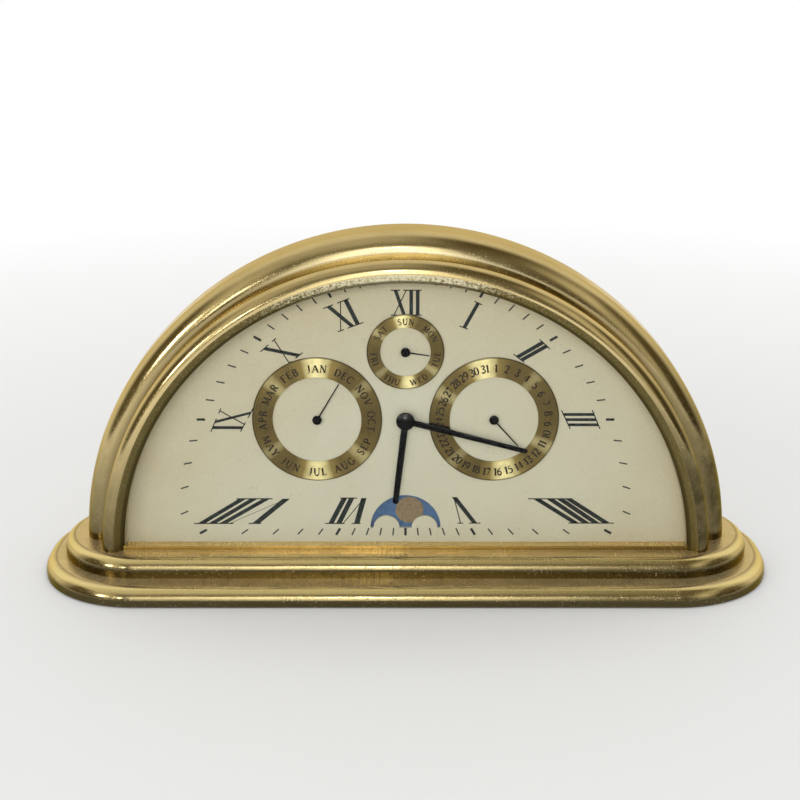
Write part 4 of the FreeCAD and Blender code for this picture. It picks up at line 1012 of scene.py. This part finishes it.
# each letter: its width, and its pen strokes in hundredths of its height from its lower left
# corner; a bowl swells between thin ends, and a serif stands at each of its points
letterForms = {
    "A": (0.9, "thin 8,0 44,100; thick 44,100 82,0; thin 20,34 68,34; serif 8,0 82,0"),
    "B": (0.74, "thick 17,0 17,100; bowl 17,100 46,97 60,76 45,53 17,52; "
                "bowl 17,52 50,50 68,26 50,2 17,0"),
    "C": (0.84, "bowl 78,80 60,98 32,96 8,50 32,3 60,2 80,20"),
    "D": (0.86, "thick 17,0 17,100; bowl 17,100 52,96 80,50 52,4 17,0"),
    "E": (0.7, "thick 17,0 17,100; thin 8,100 62,100 64,84; thin 17,52 52,52; thin 8,0 64,0 67,17"),
    "F": (0.66, "thick 17,0 17,100; thin 8,100 62,100 64,83; thin 17,52 50,52; serif 17,0"),
    "G": (0.88, "bowl 78,80 60,98 32,96 8,50 32,3 60,2 78,12; thick 78,6 78,42; serif 78,42"),
    "H": (0.9, "thick 15,0 15,100; thick 75,0 75,100; thin 15,52 75,52; "
               "serif 15,0 15,100 75,0 75,100"),
    "I": (0.36, "thick 18,0 18,100; serif 18,0 18,100"),
    "J": (0.5, "thick 32,100 32,20; thin 32,22 24,-4 6,-6; serif 32,100"),
    "L": (0.68, "thick 17,0 17,100; thin 8,0 62,0 66,20; serif 17,100"),
    "M": (1.04, "thin 10,0 15,100; thick 15,100 50,8; thin 50,8 86,100; thick 86,100 92,0; "
                "serif 10,0 92,0"),
    "N": (0.9, "thin 13,0 13,100; thick 13,100 77,0; thin 77,0 77,100; serif 13,0 77,100 10,100"),
    "O": (0.92, "round 46,100 84,50 46,0 8,50"),
    "P": (0.7, "thick 17,0 17,100; bowl 17,100 48,97 65,74 48,48 17,47; serif 17,0"),
    "R": (0.8, "thick 17,0 17,100; bowl 17,100 46,97 62,75 46,50 17,49; thick 40,49 76,0; "
               "serif 17,0"),
    "S": (0.68, "bowl 58,84 34,100 12,77 36,52 60,24 34,0 8,18"),
    "T": (0.8, "thick 40,0 40,100; thin 5,84 8,100 72,100 75,84; serif 40,0"),
    "U": (0.88, "thick 15,100 15,30; bowl 15,34 24,4 52,0 73,30; thin 73,26 73,100; "
                "serif 15,100 73,100"),
    "V": (0.88, "thick 10,100 45,0; thin 45,0 80,100; serif 10,100 80,100"),
    "W": (1.18, "thick 8,100 34,0; thin 34,0 60,100; thick 60,100 86,0; thin 86,0 110,100; "
                "serif 8,100 110,100"),
    "Y": (0.82, "thick 10,100 40,48; thin 40,48 74,100; thick 40,48 40,0; "
                "serif 10,100 74,100 40,0"),
    "0": (0.62, "round 31,100 55,50 31,0 7,50"),
    "1": (0.44, "thick 27,100 27,0; thin 8,84 27,100; serif 27,0"),
    "2": (0.62, "bowl 8,76 30,100 52,74 30,36 6,3; thick 6,5 57,5"),
    "3": (0.6, "bowl 8,84 30,100 50,76 24,53; bowl 24,53 55,28 28,0 5,14"),
    "4": (0.64, "thin 44,100 4,28 60,28; thick 44,100 44,0"),
    "5": (0.6, "thin 52,96 15,96 12,55; bowl 12,55 36,62 54,30 30,0 5,12"),
    "6": (0.62, "bowl 50,97 15,70 8,30 30,0 54,30 30,56 10,34"),
    "7": (0.6, "thick 6,94 52,94; thin 54,96 22,0"),
    "8": (0.62, "round 30,100 50,77 30,54 10,77; round 30,54 56,27 30,0 5,27"),
    "9": (0.62, "bowl 12,3 46,30 53,70 31,100 7,70 31,44 52,66"),
}
glyphs = {}


def penStrokes(letter):
    for stroke in letterForms[letter][1].split("; "):
        kind, *points = stroke.split(" ")
        yield kind, [tuple(int(part) / 100 for part in point.split(",")) for point in points]


def addPenStroke(curve, kind, points):
    thick, thin, half = lettering["thick"], lettering["thin"], lettering["serif"]
    if kind == "serif":
        for x, y in points:
            addPenStroke(curve, "thin", ((x - half, y), (x + half, y)))
        return
    curved = kind in ("bowl", "round")
    spline = curve.splines.new("BEZIER" if curved else "POLY")
    knots = spline.bezier_points if curved else spline.points
    last = len(points) - 1
    knots.add(last)
    for index, (x, y) in enumerate(points):
        knot = knots[index]
        knot.co = (x, y, 0) if curved else (x, y, 0, 1)
        if curved:
            knot.handle_left_type = knot.handle_right_type = "AUTO"
        if kind == "round":
            knot.radius = thick if index % 2 else thin
        elif kind == "bowl" and index not in (0, last):
            knot.radius = thick if index == len(points) // 2 else lettering["shoulder"]
        else:
            knot.radius = thick if kind == "thick" else thin
    spline.use_cyclic_u = kind == "round"


def glyphMesh(letter):
    # the pen strokes of one letter as a flat mesh, one unit high
    if letter not in glyphs:
        curve = bpy.data.curves.new("glyph", "CURVE")
        curve.dimensions = "3D"
        curve.bevel_depth = 0.5
        curve.bevel_resolution = 0
        curve.resolution_u = lettering["curveSteps"]
        curve.use_fill_caps = True
        for kind, points in penStrokes(letter):
            addPenStroke(curve, kind, points)
        holder = placeObject("glyph", curve)
        mesh = finishedMesh(holder)
        bpy.data.objects.remove(holder)
        mesh.transform(Matrix.Diagonal((1, 1, lettering["flat"], 1)))
        glyphs[letter] = mesh
    return glyphs[letter]


def addLetters(bm, word, centre, style, angle, inward):
    # letters follow the ring; angle is clockwise from the top
    height, middle = style["height"], style["middle"]
    widths = [letterForms[letter][0] * height for letter in word]
    position = -(sum(widths) + style["gap"] * (len(word) - 1)) / 2
    ringMiddle = Vector((centre[0], lettering["depth"], centre[1] - style["drop"])) * mm
    for letter, width in zip(word, widths):
        arc = math.degrees((position + width / 2) / middle)
        position += width + style["gap"]
        before = set(bm.verts)
        bm.from_mesh(glyphMesh(letter))
        verts = [v for v in bm.verts if v not in before]
        spin = math.radians(angle - arc + 180 if inward else angle + arc)
        place = (Matrix.Translation(ringMiddle)
                 @ Matrix.Rotation(spin, 4, "Y")
                 @ Matrix.Translation((0, 0, (-middle if inward else middle) * mm))
                 @ Matrix.Rotation(math.pi / 2, 4, "X")
                 @ Matrix.Scale(height * mm, 4)
                 @ Matrix.Translation((-letterForms[letter][0] / 2, -0.5, 0)))
        bmesh.ops.transform(bm, matrix=place, verts=verts)


for name, centre in ringCentres.items():
    style = lettering[name]
    letters = bmesh.new()
    for index, word in enumerate(style["words"]):
        addLetters(letters, word, centre, style, style["first"] + index * style["turn"],
                   index in style["inward"])
    newPiece(name + "Lettering", letters, labelInk)
print("rings lettered")


# angles are clockwise from the top; rise is how far the boss stands in front of its hand
pointer = {"root": 0.42, "tip": 0.28, "back": -11.4, "front": -11.55, "boss": 1.3, "rise": 0.15}
hands = {
    "hour": {"length": 24.5, "root": 1.9, "tip": 1.6, "back": -11.85, "front": -12.05,
             "boss": 2.2, "rise": 0.0, "angle": 186.7, "centre": dialCentre,
             "body": "hour_hand_pipe", "node": "hour_hand"},
    "minute": {"length": 34.5, "root": 1.75, "tip": 1.35, "back": -12.3, "front": -12.5,
               "boss": 1.9, "rise": 0.0, "angle": 104.8, "centre": dialCentre,
               "body": "minute_hand_arbor", "node": "minute_hand"},
    "month": {**pointer, "length": 12.0, "angle": 30.6, "centre": ringCentres["month"],
              "body": "month_display", "node": "month_pointer"},
    "date": {**pointer, "length": 10.1, "angle": 138.3, "centre": ringCentres["date"],
             "body": "date_display", "node": "date_pointer"},
    "day": {**pointer, "length": 6.5, "angle": 98.7, "centre": ringCentres["day"],
            "body": "day_display", "node": "day_pointer"},
}
handEdges = {"steps": 3, "tipRound": 0.45, "tipSteps": 6, "soft": 0.16, "softShare": 0.3,
             "bossEdge": 0.12, "bossSteps": 48}


def makeHand(name, hand):
    bm = bmesh.new()
    back, front = hand["back"] * mm, hand["front"] * mm
    length, root, tip = hand["length"] * mm, hand["root"] / 2 * mm, hand["tip"] / 2 * mm
    verts = [bm.verts.new((x, back, z))
             for x, z in ((-root, 0), (-tip, length), (tip, length), (root, 0))]
    bm.faces.new(verts)
    for corner in verts[1:3]:
        bevel(bm, [corner], hand["tip"] * handEdges["tipRound"], handEdges["tipSteps"], "VERTICES")
    extrude(bm, bm.faces[:], y=front - back)
    soft = min(handEdges["soft"], hand["tip"] * handEdges["softShare"])
    bevel(bm, partsAt(bm.edges, 1, front), soft, handEdges["steps"])
    radius = hand["boss"] * mm
    boss = bmesh.ops.create_cone(bm, cap_ends=True, segments=handEdges["bossSteps"],
                                 radius1=radius, radius2=radius, depth=1.0)["verts"]
    turnForward(bm, boss)
    bossFront = front - hand["rise"] * mm
    bmesh.ops.scale(bm, vec=(1, back - bossFront, 1), verts=boss)
    bmesh.ops.translate(bm, vec=(0, (back + bossFront) / 2, 0), verts=boss)
    rim = [e for e in partsAt(bm.edges, 1, bossFront) if all(v in boss for v in e.verts)]
    bevel(bm, rim, handEdges["bossEdge"], handEdges["steps"])
    place = Matrix.Translation((hand["centre"][0] * mm, 0, hand["centre"][1] * mm))
    turn = Matrix.Rotation(math.radians(hand["angle"]), 4, "Y")
    bmesh.ops.transform(bm, matrix=place @ turn, verts=bm.verts)
    newPiece(name, bm, handLacquer, hand["body"], replaced=(hand["node"],), sharpAngle=50)


for name, hand in hands.items():
    makeHand(name + "Hand", hand)

capShape = {
    "radius": 2.55,
    "back": -12.5,
    "shoulder": -13.2,
    "dome": 0.65,
    "domeSteps": 8,
    # each ring of the dome: how far in, and how far it rises
    "rings": ((0.45, 0.19), (0.5, 0.13), (0.5, 0.07), (0.3, 0.01)),
}


def makeCap():
    bm = bmesh.new()
    addDisc(bm, capShape["radius"], 0, capShape["back"], dialCentre[1])
    extrude(bm, bm.faces[:], y=(capShape["shoulder"] - capShape["back"]) * mm)
    shoulder = capShape["shoulder"] * mm
    bevel(bm, partsAt(bm.edges, 1, shoulder), capShape["dome"], capShape["domeSteps"])
    top = partsAt(bm.faces, 1, shoulder)
    bmesh.ops.recalc_face_normals(bm, faces=bm.faces)
    for width, rise in capShape["rings"]:
        bmesh.ops.inset_region(bm, faces=top, thickness=width * mm, depth=rise * mm)
    newPiece("handCap", bm, handLacquer, "minute_hand_arbor", replaced=("hand_cap",),
             sharpAngle=60)


makeCap()

moonShape = {"centre": (0.0, 15.1), "front": -9.9, "moons": ((1.1, 5.0), (-1.1, -5.0)),
             "radius": 3.9}
moons = bmesh.new()
for x, z in moonShape["moons"]:
    addDisc(moons, moonShape["radius"], moonShape["centre"][0] + x, moonShape["front"],
            moonShape["centre"][1] + z)
finishPrint("moonFaces", moons, moonGold, "moon_display")
print("hands and moon built")

for name in ("month", "date", "day", "moon"):
    # each pusher's return spring becomes a piece of its own, with a mesh of its own
    node = name + "_pusher_spring"
    coil = bmesh.new()
    coil.from_mesh(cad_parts[node].data)
    spring = newPiece(name + "PusherSpring", coil, springWire, replaced=(node,), sharpAngle=60)
    low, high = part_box(node)
    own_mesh(spring)
print("springs fitted")


studio = {
    "floor": (0.80, 0.80, 0.79),
    "floorRoughness": 0.6,
    "floorHalf": 6.0,  # metres, as are the two lengths below
    "fadeStart": 0.16,
    "fadeEnd": 0.50,
    "diffuseLevel": 0.80,
    "white": (1.0, 1.0, 1.0),
    "backWall": (0.82, 0.79, 0.70),
    "sideWall": (0.64, 0.61, 0.50),
    "sideRoom": (0.12, 0.10, 0.055),
    "ceilingLeft": (0.52, 0.50, 0.43),
    "ceilingRight": (0.11, 0.09, 0.05),
    "roomLeft": (0.20, 0.19, 0.14),
    "roomRight": (0.17, 0.15, 0.11),
    "window": (2.7, 2.7, 2.6),
    "cameraHeight": 179.0,
    "cameraDistance": 398.0,
    "pitch": 18.09,
    "lens": 67.5,
    "shift": -0.0069,
}
# where each part of the mirrored room comes in: from none of it to all of it
roomEdges = {
    "leftToRight": (-0.4, 0.4),
    "sideWall": (0.40, 0.56),
    "sideRoom": (0.66, 0.80),
    "ceilingRight": (-0.05, 0.22),
    "ceiling": (0.60, 0.88),
    "backWall": (-0.1, 0.3),
    "windowTop": (0.58, 0.40),
    "windowDepth": (-0.1, -0.3),
    "windowLeft": (-0.30, -0.04),
    "windowRight": (0.15, 0.02),
}


def seenDirectly(tree):
    # camera and glass see one thing, polished metal another, and paint a third
    path = tree.nodes.new("ShaderNodeLightPath").outputs
    painted = addMath(tree, "GREATER_THAN", path["Diffuse Depth"], 0.5)
    through = plus(tree, path["Is Camera Ray"], path["Is Transmission Ray"])
    mirrored = addMath(tree, "MAXIMUM", path["Is Glossy Ray"],
                       addMath(tree, "GREATER_THAN", path["Glossy Depth"], 0.5))
    direct = minus(tree, through, painted, clamp=True)
    direct = minus(tree, direct, mirrored, clamp=True)
    mirrored = minus(tree, mirrored, painted, clamp=True)
    return direct, mirrored


def makeFloor():
    # pale floor that fades to plain white away from the clock and its shadow
    bm = bmesh.new()
    bmesh.ops.create_grid(bm, x_segments=1, y_segments=1, size=studio["floorHalf"])
    floor = meshObject("floor", bm)
    material, tree, shader = newMaterial("paleFloor")
    setSockets(tree, shader, {"Base Color": studio["floor"],
                              "Roughness": studio["floorRoughness"]})
    distance = addLength(tree, coordinates(tree))
    fade = addRange(tree, distance, studio["fadeStart"], studio["fadeEnd"])
    direct, mirrored = seenDirectly(tree)
    white = tree.nodes.new("ShaderNodeEmission").outputs["Emission"]
    mixShaders(tree, times(tree, fade, plus(tree, direct, mirrored, clamp=True)),
               shader.outputs["BSDF"], white)
    floor.data.materials.append(material)


def makeWorld():
    # plain white to look at, even light on paint, and for brass a pale wall behind and a room
    # with a narrow bright window in front
    world = bpy.data.worlds.new("studioWorld")
    bpy.context.scene.world = world
    world.use_nodes = True
    tree = world.node_tree
    across, depth, height = addSplit(tree, coordinates(tree, "Generated"))

    def edge(value, name):
        return addRange(tree, value, *roomEdges[name])

    aside = addMath(tree, "ABSOLUTE", across)
    room = addMix(tree, edge(across, "leftToRight"), studio["roomLeft"], studio["roomRight"])
    room = addMix(tree, edge(aside, "sideWall"), room, studio["sideWall"])
    room = addMix(tree, edge(aside, "sideRoom"), room, studio["sideRoom"])
    ceiling = addMix(tree, edge(across, "ceilingRight"), studio["ceilingLeft"],
                     studio["ceilingRight"])
    room = addMix(tree, edge(height, "ceiling"), room, ceiling)
    room = addMix(tree, edge(depth, "backWall"), room, studio["backWall"])
    window = times(tree, edge(height, "windowTop"), edge(depth, "windowDepth"))
    window = times(tree, window, edge(across, "windowLeft"))
    window = times(tree, window, edge(across, "windowRight"))
    room = addMix(tree, window, room, studio["window"])
    direct, mirrored = seenDirectly(tree)
    light = addMix(tree, mirrored, (studio["diffuseLevel"],) * 3, room)
    light = addMix(tree, direct, light, studio["white"])
    setSockets(tree, tree.nodes["Background"], {"Color": light})
    world.cycles.sampling_method = "NONE"


# metres; each lamp aims at a point above the middle of the plinth, and the level is what its face
# shows, so that its size does not change its glare
lamps = {
    "frontBox": {"place": (0.0, -1.3, 0.58), "aim": 0.06, "size": (0.75, 0.80), "level": 1.5,
                 "mirrored": False},
    "topBox": {"place": (0.0, 0.25, 1.2), "aim": 0.03, "size": (1.3, 0.8), "level": 1.0,
               "mirrored": False},
    "leftWindow": {"place": (-1.0, -0.9, 0.42), "aim": 0.03, "size": (0.20, 0.28), "level": 7.0,
                   "mirrored": True},
    "farWindow": {"place": (-0.62, -1.15, 0.40), "aim": 0.03, "size": (0.10, 0.24), "level": 7.0,
                  "mirrored": True},
    "ceilingLamp": {"place": (-0.05, -1.15, 0.60), "aim": 0.05, "size": (0.07, 0.09),
                    "level": 12.0, "mirrored": True},
}


def addSoftbox(name, box):
    width, height = box["size"]
    light = bpy.data.lights.new(name, "AREA")
    light.shape = "RECTANGLE"
    light.size, light.size_y = width, height
    light.energy = box["level"] * math.pi * width * height
    lamp = placeObject(name, light)
    lamp.location = box["place"]
    toClock = Vector((0, 0, box["aim"])) - Vector(box["place"])
    lamp.rotation_euler = toClock.to_track_quat("-Z", "Y").to_euler()
    lamp.visible_camera = False
    lamp.visible_glossy = box["mirrored"]


makeFloor()
makeWorld()
for name, box in lamps.items():
    addSoftbox(name, box)

cameraData = bpy.data.cameras.new("camera")
cameraData.lens = studio["lens"]
cameraData.sensor_width = 36.0
cameraData.shift_x = studio["shift"]
cameraData.clip_start = 0.01
camera = placeObject("camera", cameraData)
camera.location = (0, -studio["cameraDistance"] * mm, studio["cameraHeight"] * mm)
camera.rotation_euler = (math.radians(90 - studio["pitch"]), 0, 0)
bpy.context.scene.camera = camera
bpy.context.scene.view_settings.view_transform = "Standard"
print("studio set")
